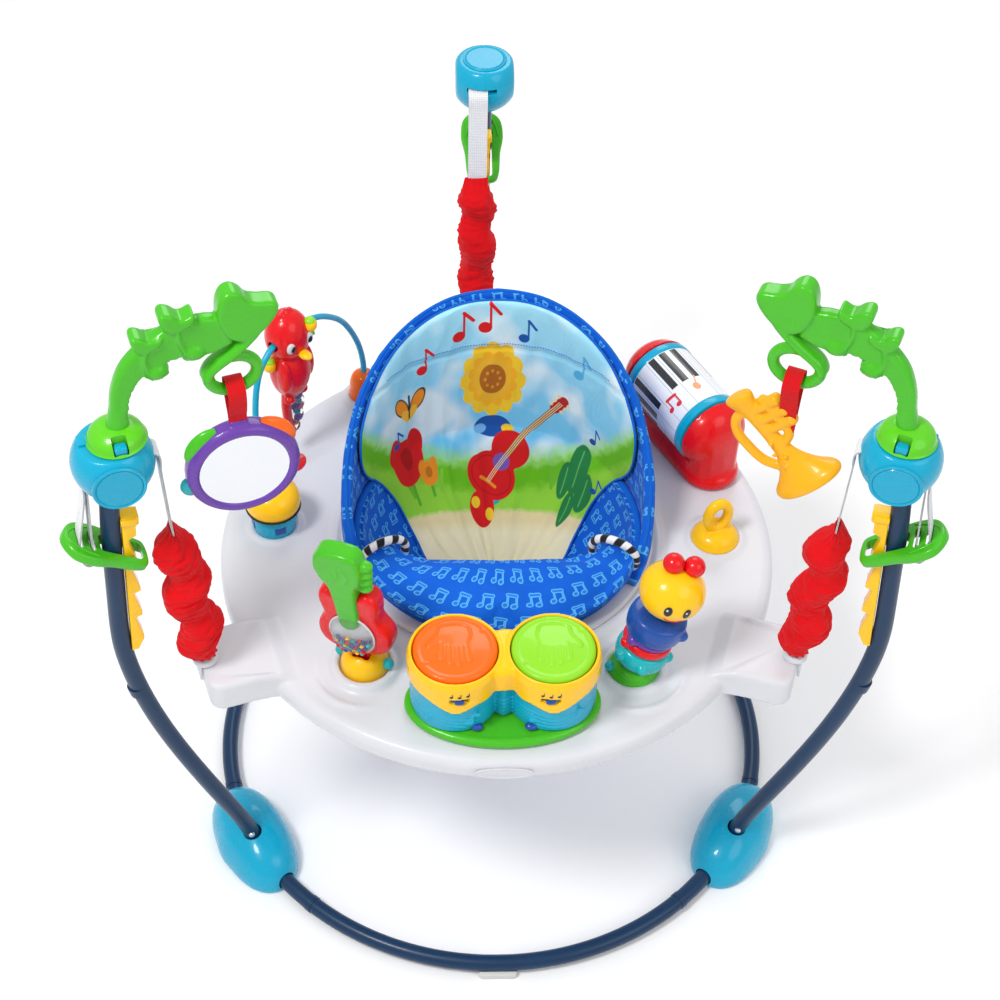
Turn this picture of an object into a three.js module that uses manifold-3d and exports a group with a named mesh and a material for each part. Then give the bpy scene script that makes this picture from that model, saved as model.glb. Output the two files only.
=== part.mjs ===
// A spring-suspended baby activity seat: a three-post steel frame with strap hubs, a round toy
// tray hung on three covered springs, a fabric seat that turns in the tray, and its toys.
// Millimetres, +Z up, the child faces -Y. While it is built, the floor ring's centre is the
// origin; the last lines move the whole group so its bottom centre is the origin.
import * as THREE from 'three';
import { mergeVertices } from 'three/addons/utils/BufferGeometryUtils.js';
import Module from 'manifold-3d';

const wasm = await Module();
wasm.setup();

// ---------------------------------------------------------------- driving dimensions
const GAP = 0.4;
const SOCKET_GAP = 1.3;
const RING_R = 330;
const TUBE_R = 9.6;
const RING_Z = 12.8;
const FOOT_ANGLE = 31.5;
const LEG_YAW = 18;
const FOOT_SHIFT = 3;
const REAR_TURN = 1.6;

const HUB = { s: 91, z: 706, r: 39.4, flat: 34, top: 25 };
const STRAP = { width: 22, thick: 1.6, slotZ: 711.5 };
const SLIDE = { s: 106.9, z: 587, lean: -3.6 };
const HANDLE_TILT = 31;
const COVER = { top: [47, 596], bottom: [33, 403], rs: 24, rt: 19, bore: 15.5 };
const ARM_T = 14;
const ARM_PEG_S = 84;
const RIGHT_ARM = { shift: 8, turn: -6 };
const RING_TUBE = { s: -29, z: 761.5 };

const TRAY = { r: 312, top: 376, bottom: 352, wall: 4, hole: 165 };
const SEAT = { y: 8, r: 176, back: 592 };
const BOLSTER = { from: 203, to: 337, outer: 171, inner: 76, widest: 110, z: 408, rise: 23.6 };
const DRUM = { x: 50, y: -234, r: 50, padR: 43.4, base: 376 + GAP, top: 465, switchZ: 441.2 };

// ---------------------------------------------------------------- helpers
const rad = THREE.MathUtils.degToRad;
const v2 = (x, y) => new THREE.Vector2(x, y);
const v3 = (x, y, z) => new THREE.Vector3(x, y, z);

function toSolid(geometry) {
  const bare = geometry.clone();
  bare.deleteAttribute('normal');
  bare.deleteAttribute('uv');
  const merged = mergeVertices(bare, 1e-4);
  const vertProperties = Float32Array.from(merged.attributes.position.array);
  const triVerts = Uint32Array.from(merged.index.array);
  return new wasm.Manifold(new wasm.Mesh({ numProp: 3, vertProperties, triVerts }));
}

function toGeometry(solid) {
  const mesh = solid.getMesh();
  const geometry = new THREE.BufferGeometry();
  geometry.setAttribute('position', new THREE.BufferAttribute(mesh.vertProperties, 3));
  geometry.setIndex(new THREE.BufferAttribute(mesh.triVerts, 1));
  return geometry;
}

function combine(first, others, how) {
  let solid = toSolid(first);
  for (const other of others) solid = solid[how](toSolid(other));
  return toGeometry(solid);
}

const join = (first, ...others) => combine(first, others, 'add');
const cut = (first, ...others) => combine(first, others, 'subtract');
const overlap = (first, ...others) => combine(first, others, 'intersect');

function box(x0, x1, y0, y1, z0, z1) {
  const geometry = new THREE.BoxGeometry(x1 - x0, y1 - y0, z1 - z0);
  return geometry.translate((x0 + x1) / 2, (y0 + y1) / 2, (z0 + z1) / 2);
}

function post(r, z0, z1, sides = 24, rTop = r) {
  const geometry = new THREE.CylinderGeometry(rTop, r, z1 - z0, sides);
  return geometry.rotateX(Math.PI / 2).translate(0, 0, (z0 + z1) / 2);
}

function alongX(geometry) {
  return geometry.rotateY(Math.PI / 2);
}

function alongY(geometry) {
  return geometry.rotateX(-Math.PI / 2);
}

// A solid of revolution about Z; each point is [radius, height].
function turned(profile, sides = 32) {
  const points = profile.map(([r, z]) => v2(r, z));
  return new THREE.LatheGeometry(points, sides).rotateX(Math.PI / 2);
}

function ellipsoid(rx, ry, rz, wide = 16, tall = 10) {
  return new THREE.SphereGeometry(1, wide, tall).rotateX(Math.PI / 2).scale(rx, ry, rz);
}

function circleShape(r, x = 0, y = 0) {
  const shape = new THREE.Shape();
  shape.absarc(x, y, r, 0, Math.PI * 2);
  return shape;
}

function extruded(shape, depth, curveSegments = 12) {
  return new THREE.ExtrudeGeometry(shape, { depth, bevelEnabled: false, curveSegments });
}

// A flat plate drawn in the leg plane (outward, up) and given its thickness across the leg.
function standingPlate(shape, thickness, curveSegments = 12) {
  const plate = extruded(shape, thickness, curveSegments).translate(0, 0, -thickness / 2);
  return plate.rotateX(Math.PI / 2);
}

function tube(points, r, { steps = 24, sides = 10, closed = false, tension = 0.5 } = {}) {
  const path = new THREE.CatmullRomCurve3(points.map((p) => v3(...p)), closed, 'catmullrom', tension);
  const section = new THREE.Shape();
  for (let i = 0; i < sides; i += 1) {
    const angle = (i / sides) * Math.PI * 2;
    const x = r * Math.cos(angle);
    const y = r * Math.sin(angle);
    if (i === 0) section.moveTo(x, y);
    else section.lineTo(x, y);
  }
  section.closePath();
  return new THREE.ExtrudeGeometry(section, { extrudePath: path, steps, bevelEnabled: false });
}

// A closed skin over a row of rings of points, with flat ends.
function lofted(rings) {
  const count = rings[0].length;
  const end = (rings.length - 1) * count;
  const faces = [];
  for (let a = 0; a < end; a += count) {
    for (let j = 0; j < count; j += 1) {
      const k = (j + 1) % count;
      faces.push(a + j, a + count + j, a + count + k, a + j, a + count + k, a + k);
    }
  }
  for (let j = 1; j + 1 < count; j += 1) {
    faces.push(0, j, j + 1, end, end + j + 1, end + j);
  }
  const geometry = new THREE.BufferGeometry().setFromPoints(rings.flat());
  geometry.setIndex(faces);
  return geometry;
}

// The outline of a band that follows points [x, y], with a width at each point.
function bandShape(points, widths) {
  const side = (sign) => points.map(([x, y], i) => {
    const [ax, ay] = points[Math.max(i - 1, 0)];
    const [bx, by] = points[Math.min(i + 1, points.length - 1)];
    const length = Math.hypot(bx - ax, by - ay);
    const half = (sign * (Array.isArray(widths) ? widths[i] : widths)) / 2;
    return v2(x - ((by - ay) / length) * half, y + ((bx - ax) / length) * half);
  });
  return new THREE.Shape([...side(1), ...side(-1).reverse()]);
}

const model = new THREE.Group();
const COLOURS = {
  navy: [0x1c3f6e, 0.3, 0.5],
  cyan: [0x19b4e0, 0.3, 0],
  green: [0x4fc424, 0.35, 0],
  lime: [0x8ede2a, 0.35, 0],
  yellow: [0xffc50d, 0.35, 0],
  orange: [0xff7a12, 0.35, 0],
  red: [0xe3161c, 0.35, 0],
  purple: [0x6a3fa8, 0.35, 0],
  white: [0xeef0f4, 0.35, 0],
  webbing: [0xe9eaee, 0.85, 0],
  fabric_red: [0xd91620, 0.85, 0],
  fabric_blue: [0x0b57d0, 0.85, 0],
  fabric_print: [0x8fd0ee, 0.85, 0],
  steel: [0xb9bcc2, 0.3, 0.9],
  black: [0x16202c, 0.4, 0],
};

function add(parent, name, geometry, colour) {
  const [color, roughness, metalness] = COLOURS[colour];
  const mesh = new THREE.Mesh(geometry, new THREE.MeshStandardMaterial({ color, roughness, metalness }));
  mesh.name = name;
  parent.add(mesh);
  return mesh;
}

// ---------------------------------------------------------------- legs
// Each leg has its own frame: X outward, Z up, at its foot point on the floor ring.
// The rear webbing leaves its hub a little to one side (strapShift) and runs clear of the post.
const LEGS = [
  { side: 'left', at: 180 + FOOT_ANGLE, yaw: 180 + LEG_YAW, footShift: -FOOT_SHIFT, strapShift: 0, cover: 1 },
  { side: 'right', at: -FOOT_ANGLE, yaw: -LEG_YAW, footShift: FOOT_SHIFT, strapShift: 0, cover: -1 },
  { side: 'rear', at: 90 + REAR_TURN, yaw: 90 + REAR_TURN, footShift: 0, strapShift: 9, cover: 0 },
];

const POST_PATH = [
  [2, 0, 30], [9, 0, 60], [18, 0, 89], [36, 0, 137], [66, 0, 220], [90, 0, 297], [107, 0, 370],
  [116.2, 0, 440], [113.9, 0, 477], [111.5, 0, 515], [109.1, 0, 552], [106.7, 0, 590],
  [104.6, 0, 622], [101, 0, 655], [97, 0, 688],
];

function footBody() {
  const dome = ellipsoid(42, 76, 56, 14, 8);
  const lower = box(-60, 60, -90, 90, 0, 80);
  return overlap(dome, lower);
}

function ringArc(from, to, r, steps, sides) {
  const points = [];
  for (let i = 0; i <= 12; i += 1) {
    const angle = rad(from + ((to - from) * i) / 12);
    points.push([RING_R * Math.cos(angle), RING_R * Math.sin(angle), RING_Z]);
  }
  return tube(points, r, { steps, sides });
}

function hubBody(coverSide, pegShift, strapShift) {
  const { s, z, r, flat, top } = HUB;
  const ball = new THREE.SphereGeometry(r, 16, 10).rotateX(Math.PI / 2).translate(s, 0, z);
  const slab = box(s - 50, s + 50, -flat, flat, z - 50, z + top);
  const socket = tube(POST_PATH.slice(-3), TUBE_R + SOCKET_GAP, { steps: 3, sides: 8 });
  const slotTop = STRAP.slotZ + 2.8;
  const across = box(s - 45, s + 34.5, -12.5, 12.5 + strapShift, STRAP.slotZ - 2.8, slotTop);
  const down = box(s + 27.5, s + 34.5, -12.5, 12.5, z - 60, slotTop);
  const peg = post(8.4, z + 12, z + 60, 10).translate(ARM_PEG_S + pegShift, 0, 0);
  const inner = overlap(ball, slab);
  const cuts = [socket, across, down, peg];
  if (coverSide !== 0) cuts.push(coverDisc(coverSide, 26, 4, 8));
  return cut(inner, ...cuts);
}

// A round disc let into a hub's flat face, depth in from the face and standing out by `out`.
function coverDisc(coverSide, r, depth, out) {
  const disc = alongY(post(r, HUB.flat - depth, HUB.flat + out, 18));
  if (coverSide < 0) disc.rotateX(Math.PI);
  return disc.translate(HUB.s + 1, 0, HUB.z - 5);
}

function hubCover(coverSide) {
  return coverDisc(coverSide, 25.6, 4 - GAP, 1.5);
}

function adjusterHandle() {
  const outline = new THREE.Shape();
  outline.moveTo(-36, -12);
  outline.quadraticCurveTo(-36, -18, -26, -19);
  outline.quadraticCurveTo(0, -21, 22, -26);
  outline.quadraticCurveTo(52, -26, 55, 0);
  outline.quadraticCurveTo(52, 26, 22, 26);
  outline.quadraticCurveTo(0, 21, -26, 19);
  outline.quadraticCurveTo(-36, 18, -36, 12);
  outline.closePath();
  const plate = extruded(outline, 11, 6).translate(0, 0, -5.5).rotateY(rad(-HANDLE_TILT));
  const passage = box(-28.5, TUBE_R + 1.2, -TUBE_R - 1.2, TUBE_R + 1.2, -60, 60);
  const slots = [18.5, 30].map((s) => box(s - 2.6, s + 2.6, -13, 13, -60, 60));
  return cut(plate, passage, ...slots);
}

// The notched rail on the inner side of a post; the handle's pawl drops into its notches.
function rackRail() {
  const back = -TUBE_R - 0.6;
  const front = -23.5;
  const outline = new THREE.Shape();
  outline.moveTo(back, -146);
  outline.lineTo(back, 46);
  outline.lineTo(-27, 46);
  outline.lineTo(-27, 36);
  outline.lineTo(front, 33);
  outline.lineTo(front, 20);
  outline.lineTo(-16, 16);
  const pitch = 36;
  for (let i = 0; i < 4; i += 1) {
    const top = 10 - i * pitch;
    outline.lineTo(-16, top);
    outline.lineTo(front, top - pitch + 8);
    outline.lineTo(front, top - pitch + 3);
  }
  outline.lineTo(-17, -146);
  outline.closePath();
  return standingPlate(outline, 15);
}

function strapInner() {
  const { s, z } = HUB;
  const path = [
    [s - 0.5, STRAP.slotZ], [s - 37, STRAP.slotZ], [s - 41, STRAP.slotZ - 2],
    [s - 42.2, z - 3], [s - 41.4, z - 20], [COVER.top[0], 588],
  ];
  return standingPlate(bandShape(path, STRAP.thick), STRAP.width);
}

// The pull-down end of the webbing: through the hub, down one handle slot and up the other.
function strapOuter() {
  const { s } = HUB;
  const path = [
    [s + 0.5, STRAP.slotZ], [s + 27, STRAP.slotZ], [s + 32, STRAP.slotZ - 3],
    [s + 33, STRAP.slotZ - 10], [s + 33.2, 672], [136.6, 612], [136.9, 590], [134, 584],
    [131, 582.5], [127, 582], [125.2, 585], [125, 604], [s + 29.4, 672], [s + 29.4, 695],
  ];
  return standingPlate(bandShape(path, STRAP.thick), STRAP.width);
}

// A straight tilted axis from a strap's end down to the tray arm.
function onCoverAxis(geometry) {
  const [s0, z0] = COVER.top;
  const [s1, z1] = COVER.bottom;
  const lean = Math.atan2(s0 - s1, z0 - z1);
  return geometry.rotateY(lean).translate((s0 + s1) / 2, 0, (z0 + z1) / 2);
}

function coverSleeve() {
  const half = Math.hypot(COVER.top[0] - COVER.bottom[0], COVER.top[1] - COVER.bottom[1]) / 2;
  const outside = post(1, -half, half, 14).scale(COVER.rs, COVER.rt, 1);
  return onCoverAxis(cut(outside, post(COVER.bore, -half - 5, half + 5, 12)));
}

function coilSpring() {
  const turns = 6;
  const steps = turns * 7;
  const points = [[0, 0, -106], [0, 0, -98]];
  for (let i = 0; i <= steps; i += 1) {
    const angle = (i / steps) * turns * Math.PI * 2;
    points.push([12 * Math.cos(angle), 12 * Math.sin(angle), -88 + (i / steps) * 160]);
  }
  return onCoverAxis(tube(points, 1.6, { steps: steps + 4, sides: 4 }));
}

// ---------------------------------------------------------------- toy arms
const ARM_SPINE = [[78, 768], [74, 788], [64, 808], [50, 822], [32, 832], [12, 836], [-10, 834], [-30, 838]];
const ARM_WIDTH = [17, 19, 22, 28, 34, 42, 46, 30];

function noteLeaf(s, z, scale) {
  const leaf = new THREE.Shape();
  leaf.moveTo(12 * scale, 2 * scale);
  leaf.quadraticCurveTo(6 * scale, -10 * scale, -6 * scale, -8 * scale);
  leaf.quadraticCurveTo(-14 * scale, -4 * scale, -14 * scale, 4 * scale);
  leaf.quadraticCurveTo(-4 * scale, 0, 2 * scale, 6 * scale);
  leaf.quadraticCurveTo(9 * scale, 9 * scale, 12 * scale, 2 * scale);
  return standingPlate(leaf, ARM_T + 4, 2).translate(s, 0, z);
}

function toyArm() {
  const arch = standingPlate(bandShape(ARM_SPINE, ARM_WIDTH), ARM_T);
  const flag = new THREE.Shape();
  flag.moveTo(-20, 850);
  flag.quadraticCurveTo(-22, 880, -35, 881);
  flag.quadraticCurveTo(-43, 877, -49, 864);
  flag.quadraticCurveTo(-60, 862, -70, 854);
  flag.quadraticCurveTo(-74, 846, -65, 830);
  flag.lineTo(-43, 806);
  flag.lineTo(-8, 800);
  flag.closePath();
  const outer = new THREE.Shape();
  outer.absellipse(-29, 782, 29, 27, 0, Math.PI * 2, false, rad(-10));
  const hole = new THREE.Path();
  hole.absellipse(-29, 780.5, 17, 12.5, 0, Math.PI * 2, false, rad(-10));
  const ring = standingPlate(outer, ARM_T - 2, 9);
  const ringHole = standingPlate(new THREE.Shape(hole.getPoints(9)), ARM_T + 8);
  const collar = turned([[0, 731.5], [27, 731.5], [26, 738], [18, 748], [0, 752]], 14).translate(84, 0, 0);
  const neck = post(9.5, 745, 772, 8).translate(79, 0, 0);
  const peg = post(7.8, 720, 735, 8).translate(84, 0, 0);
  const body = join(arch, standingPlate(flag, ARM_T + 4, 3), ring, collar, neck, peg,
    noteLeaf(46, 842, 1.1), noteLeaf(17, 862, 1.3), standingPlate(circleShape(13, 38, 806), ARM_T + 4, 5),
    standingPlate(circleShape(14, 2, 822), ARM_T + 6, 5));
  return cut(body, ringHole);
}

// ---------------------------------------------------------------- hanging toys
// The ribbon loop that hangs a toy from an arm's ring, in the leg frame.
function hangingLoop(bottomZ) {
  const { s, z } = RING_TUBE;
  const outline = (r, end, endR) => {
    const shape = new THREE.Shape();
    shape.absarc(0, z, r, 0, Math.PI);
    shape.lineTo(-endR, end);
    shape.lineTo(endR, end);
    shape.closePath();
    return shape;
  };
  const outer = outline(13, bottomZ, 4);
  outer.holes.push(new THREE.Path(outline(11.2, bottomZ + 8, 1.6).getPoints(8)));
  const band = extruded(outer, 17, 8).translate(0, 0, -8.5);
  return band.rotateX(Math.PI / 2).rotateZ(Math.PI / 2).translate(s, 0, 0);
}

const MIRROR = { z: 662, r: 56, petalR: 50, thick: 22 };

function mirrorToy() {
  const disc = alongY(turned([[0, -9], [44, -9], [48, -11], [54, -8], [56, 0], [54, 8], [48, 11], [44, 9], [0, 9]], 22));
  const petals = [25, 65, 115, 155, 195, 345].map((angle) => {
    const petal = alongY(post(15, -6, 6, 9));
    return petal.translate(MIRROR.petalR * Math.cos(rad(angle)), 0, MIRROR.petalR * Math.sin(rad(angle)));
  });
  const lug = box(-9, 9, -4, 4, 48, 62);
  const toy = join(disc, ...petals, lug);
  return toy.translate(RING_TUBE.s, 0, MIRROR.z);
}

function trumpet() {
  const profile = [[0, 0], [15, 0], [15, 8], [9, 26], [9, 70], [18, 92], [36, 112], [39, 118], [0, 118]];
  const horn = turned(profile, 12).scale(1, 0.55, 1);
  const handle = tube([[6, 0, 22], [24, 0, 30], [30, 0, 52], [26, 0, 78], [14, 0, 92]], 5, { steps: 8, sides: 6 });
  const valves = [22, 44].map((z) => ellipsoid(25, 9, 11, 10, 6).translate(-12, 0, z));
  const body = join(horn, handle, ...valves);
  return body.rotateY(rad(134)).translate(-81, 0, 724);
}

function legParts(parent, leg) {
  add(parent, `foot_${leg.side}`, leg.foot, 'cyan');
  add(parent, `post_${leg.side}`, tube(POST_PATH, TUBE_R, { steps: 22, sides: 8 }), 'navy');
  const pegShift = leg.side === 'right' ? RIGHT_ARM.shift : 0;
  add(parent, `hub_${leg.side}`, hubBody(leg.cover, pegShift, leg.strapShift), 'cyan');
  if (leg.cover !== 0) add(parent, `hub_cover_${leg.side}`, hubCover(leg.cover), 'cyan');
  const aside = (geometry) => geometry.translate(0, leg.strapShift, 0);
  add(parent, `strap_inner_${leg.side}`, aside(strapInner()), 'webbing');
  add(parent, `strap_outer_${leg.side}`, strapOuter(), 'webbing');
  add(parent, `spring_cover_${leg.side}`, aside(coverSleeve()), 'fabric_red');
  add(parent, `spring_${leg.side}`, aside(coilSpring()), 'steel');
  const slider = new THREE.Group();
  slider.position.set(SLIDE.s, 0, SLIDE.z);
  slider.rotation.y = rad(SLIDE.lean);
  parent.add(slider);
  add(slider, `rack_${leg.side}`, rackRail(), 'yellow');
  add(slider, `adjuster_${leg.side}`, adjusterHandle(), 'green');
}

function legGroup(leg) {
  const group = new THREE.Group();
  group.position.set(RING_R * Math.cos(rad(leg.at)), RING_R * Math.sin(rad(leg.at)), 0);
  group.rotation.z = rad(leg.yaw);
  model.add(group);
  return group;
}

// A foot in its leg's frame, with sockets for its post and for the two base tubes.
function footInLeg(leg) {
  const turn = rad(leg.at - leg.yaw);
  const toLeg = (geometry) => geometry.rotateZ(-rad(leg.at)).translate(-RING_R, 0, 0).rotateZ(turn);
  const body = toLeg(footBody().translate(RING_R, 0, 0).rotateZ(rad(leg.at + leg.footShift)));
  const half = 13.5;
  const sockets = [
    toLeg(ringArc(leg.at + 5.5, leg.at + 2 * half, TUBE_R + SOCKET_GAP, 3, 8)),
    toLeg(ringArc(leg.at - 2 * half, leg.at - 5.5, TUBE_R + SOCKET_GAP, 3, 8)),
    tube([[1.4, 0, 24], ...POST_PATH.slice(0, 4)], TUBE_R + SOCKET_GAP, { steps: 5, sides: 8 }),
  ];
  return cut(body, ...sockets);
}

for (const leg of LEGS) {
  leg.foot = footInLeg(leg);
  leg.group = legGroup(leg);
  legParts(leg.group, leg);
}

// ---------------------------------------------------------------- floor ring
const ARCS = [
  { name: 'base_tube_front', from: 180 + FOOT_ANGLE, to: 360 - FOOT_ANGLE },
  { name: 'base_tube_right', from: -FOOT_ANGLE, to: 90 + REAR_TURN },
  { name: 'base_tube_left', from: 90 + REAR_TURN, to: 180 + FOOT_ANGLE },
];
for (const arc of ARCS) {
  add(model, arc.name, ringArc(arc.from + 6, arc.to - 6, TUBE_R, 20, 8), 'navy');
}

function floorPad() {
  const saddle = box(-14, 14, -22, 22, 0, 10);
  const groove = ringArc(-10, 10, TUBE_R + SOCKET_GAP, 2, 8).translate(-RING_R, 0, 0);
  return cut(saddle, groove);
}
add(model, 'floor_pad', floorPad().rotateZ(rad(-90)).translate(0, -RING_R, 0), 'white');

// ---------------------------------------------------------------- toy arms and hanging toys
// The right arm plugs into its hub a little further out, and is turned towards the rear.
const rightArm = new THREE.Group();
const pegX = ARM_PEG_S + RIGHT_ARM.shift;
rightArm.position.set(pegX, 0, 0);
rightArm.rotation.z = rad(RIGHT_ARM.turn);
LEGS[1].group.add(rightArm);
const onRightArm = (geometry) => geometry.translate(-ARM_PEG_S, 0, 0);

add(LEGS[0].group, 'toy_arm_left', toyArm(), 'green');
add(LEGS[0].group, 'mirror_toy', join(mirrorToy(), hangingLoop(708)), 'purple');
add(rightArm, 'toy_arm_right', onRightArm(toyArm()), 'green');
add(rightArm, 'trumpet_toy', onRightArm(join(trumpet(), hangingLoop(699))), 'yellow');

// ---------------------------------------------------------------- tray
function traySkin() {
  const { r, top, bottom, wall } = TRAY;
  const profile = [
    [0, top], [304, top], [309, top - 3], [r, top - 9], [r, bottom], [r - wall, bottom],
    [r - wall, top - 10], [303, top - wall], [0, top - wall],
  ];
  return turned(profile.reverse(), 36);
}

function trayArm(leg) {
  const outline = (end, half, radius) => {
    const shape = new THREE.Shape();
    shape.moveTo(-70, -half - 8);
    shape.lineTo(end - radius, -half);
    shape.absarc(end - radius, -half + radius, radius, -Math.PI / 2, 0);
    shape.absarc(end - radius, half - radius, radius, 0, Math.PI / 2);
    shape.lineTo(-70, half + 8);
    shape.closePath();
    return shape;
  };
  const place = (geometry) => geometry.rotateZ(rad(leg.yaw)).translate(leg.group.position.x, leg.group.position.y, 0);
  const outside = extruded(outline(38, 42, 14), 40, 3).translate(0, 0, 348);
  const inside = extruded(outline(34, 38, 10), 60, 3).translate(4, 0, 324);
  return { outside: place(outside), inside: place(inside) };
}

function tray() {
  let skin = toSolid(traySkin());
  for (const leg of LEGS) {
    const arm = trayArm(leg);
    const shell = toSolid(arm.outside).subtract(toSolid(arm.inside));
    skin = skin.add(shell);
  }
  const hole = post(TRAY.hole, 300, 420, 36).translate(0, SEAT.y, 0);
  return toGeometry(skin.subtract(toSolid(hole)));
}
add(model, 'tray', tray(), 'white');

// ---------------------------------------------------------------- seat
const seat = new THREE.Group();
seat.position.set(0, SEAT.y, 0);
model.add(seat);

function seatRing() {
  const profile = [
    [158, 352], [163.5, 352], [163.5, TRAY.top + GAP], [SEAT.r, TRAY.top + GAP],
    [SEAT.r, 381], [172, 384], [158, 384], [158, 352],
  ];
  return turned(profile, 32);
}

function seatBack() {
  const wall = turned([[160, 385], [175, 385], [175, 600], [160, 600], [160, 385]], 36);
  const arch = new THREE.Shape();
  arch.moveTo(-180, 380);
  arch.lineTo(-180, 425);
  arch.bezierCurveTo(-176, 530, -105, SEAT.back, 0, SEAT.back);
  arch.bezierCurveTo(105, SEAT.back, 176, 530, 180, 425);
  arch.lineTo(180, 380);
  arch.closePath();
  const silhouette = extruded(arch, 230, 8).rotateX(Math.PI / 2).translate(0, 195, 0);
  return overlap(wall, silhouette);
}

// The padded front: its outer side follows the seat ring, its inner side runs nearly straight across.
function seatBolster() {
  const around = 14;
  const along = 18;
  const rings = [];
  for (let i = 0; i <= along; i += 1) {
    const angle = rad(BOLSTER.from + ((BOLSTER.to - BOLSTER.from) * i) / along);
    const inner = Math.min(BOLSTER.widest, BOLSTER.inner / Math.abs(Math.sin(angle)));
    const taper = 1 - 0.3 * Math.abs((2 * i) / along - 1) ** 6;
    const half = ((BOLSTER.outer - inner) / 2) * taper;
    const ring = [];
    for (let j = 0; j < around; j += 1) {
      const turn = (j / around) * Math.PI * 2;
      const r = (BOLSTER.outer + inner) / 2 + half * Math.cos(turn);
      const z = BOLSTER.z + BOLSTER.rise * taper * Math.sin(turn);
      ring.push(v3(r * Math.cos(angle), r * Math.sin(angle), z));
    }
    rings.push(ring);
  }
  return lofted(rings);
}

// The hanging bucket of the seat, with its two leg openings.
function seatSling() {
  const profile = [
    [0, 258], [62, 262], [112, 292], [142, 335], [156, 378], [151, 378], [137, 337], [108, 297],
    [60, 268], [0, 264],
  ];
  const bucket = turned(profile, 24);
  const legHoles = [-74, 74].map((x) => ellipsoid(46, 60, 46, 10, 6).translate(x, -78, 292));
  return cut(bucket, ...legHoles);
}

add(seat, 'seat_ring', seatRing(), 'yellow');
add(seat, 'seat_back', seatBack(), 'fabric_print');
add(seat, 'seat_bolster', seatBolster(), 'fabric_blue');
add(seat, 'seat_sling', seatSling(), 'fabric_blue');

// ---------------------------------------------------------------- drums
const drums = new THREE.Group();
drums.position.set(0, DRUM.y, 0);
model.add(drums);
const lobes = (make) => [-DRUM.x, DRUM.x].map((x) => make(x).translate(x, 0, 0));

function drumBase() {
  const plate = post(1, DRUM.base, DRUM.base + 11, 26).scale(102, 58, 1).translate(0, -2, 0);
  return plate;
}

function drumBody() {
  const bodyTop = DRUM.top - 30;
  const cans = lobes(() => post(45, DRUM.base + 11 + GAP, bodyTop + 1, 20));
  const rims = lobes(() => post(46, bodyTop, DRUM.top, 20, DRUM.r));
  const wells = lobes(() => post(DRUM.padR + 0.6, DRUM.top - 10, DRUM.top + 10, 20));
  const web = box(-14, 14, -30, 30, DRUM.base + 11 + GAP, DRUM.top - 6);
  const z = DRUM.switchZ;
  const pockets = [-46, 46].map((x) => box(x - 10, x + 10, -60, -40, z - 3.1, z + 3.1));
  return cut(join(web, ...cans, ...rims), ...wells, ...pockets);
}

function drumPad() {
  const z = DRUM.top - 10;
  const r = DRUM.padR;
  return turned([[0, z + 3], [r, z + 3], [r, z + 9], [r - 5, z + 12], [0, z + 14]], 20);
}

add(drums, 'drum_base', drumBase(), 'green');
add(drums, 'drum_body', drumBody(), 'yellow');
add(drums, 'drum_pad_left', drumPad().translate(-DRUM.x, 0, 0), 'orange');
add(drums, 'drum_pad_right', drumPad().translate(DRUM.x, 0, 0), 'lime');
function drumSwitch() {
  return box(-5, 5, -51, -42, DRUM.switchZ - 2.5, DRUM.switchZ + 2.5);
}

add(drums, 'volume_switch', drumSwitch().translate(-46, 0, 0), 'black');
add(drums, 'mode_switch', drumSwitch().translate(46, 0, 0), 'black');

// ---------------------------------------------------------------- piano roller
const PIANO = { x: 220.5, y: 158, z: 440, r: 43, half: 56, heading: 118.3 };
const piano = new THREE.Group();
piano.position.set(PIANO.x, PIANO.y, 0);
piano.rotation.z = rad(PIANO.heading);
model.add(piano);

function pianoBase() {
  const outline = new THREE.Shape();
  outline.absarc(62, 0, 34, -Math.PI / 2, Math.PI / 2);
  outline.absarc(-62, 0, 34, Math.PI / 2, Math.PI * 1.5);
  const floor = extruded(outline, 15, 6).translate(0, 0, TRAY.top + GAP);
  const ends = [-1, 1].map((side) => {
    const cap = alongX(turned([[0, 0], [40, 0], [39, 8], [32, 20], [18, 28], [0, 30]], 16)).translate(58, 0, PIANO.z);
    if (side < 0) cap.rotateZ(Math.PI);
    const pillar = box(side < 0 ? -84 : 58, side < 0 ? -58 : 84, -28, 28, TRAY.top + 4, PIANO.z);
    return join(cap, pillar);
  });
  const axleHole = alongX(post(5.8, -75, 75, 8)).translate(0, 0, PIANO.z);
  return cut(join(floor, ...ends), axleHole);
}

function pianoRoller() {
  const barrel = alongX(post(PIANO.r, -PIANO.half, PIANO.half, 22)).translate(0, 0, PIANO.z);
  const axle = alongX(post(5, -70, 70, 8)).translate(0, 0, PIANO.z);
  return join(barrel, axle);
}
add(piano, 'piano_base', pianoBase(), 'red');
add(piano, 'piano_roller', pianoRoller(), 'white');

// ---------------------------------------------------------------- guitar
const GUITAR = { x: -145, y: -182, pivot: 396, lean: 3, tilt: 6, heading: 22, scale: 1.06 };
const guitar = new THREE.Group();
guitar.position.set(GUITAR.x, GUITAR.y, 0);
guitar.rotation.z = rad(-GUITAR.heading);
model.add(guitar);

function guitarBase() {
  const z = TRAY.top + GAP;
  const dome = turned([[0, z], [26, z], [25.5, z + 12], [22, z + 22], [14, z + 27], [0, z + 28]], 16);
  const slot = box(-9, 9, -40, 40, GUITAR.pivot - 12.5, GUITAR.pivot + 40);
  const pinHole = alongX(post(3.6, -16, 16, 10)).translate(0, 0, GUITAR.pivot);
  return cut(dome, slot, pinHole);
}

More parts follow.
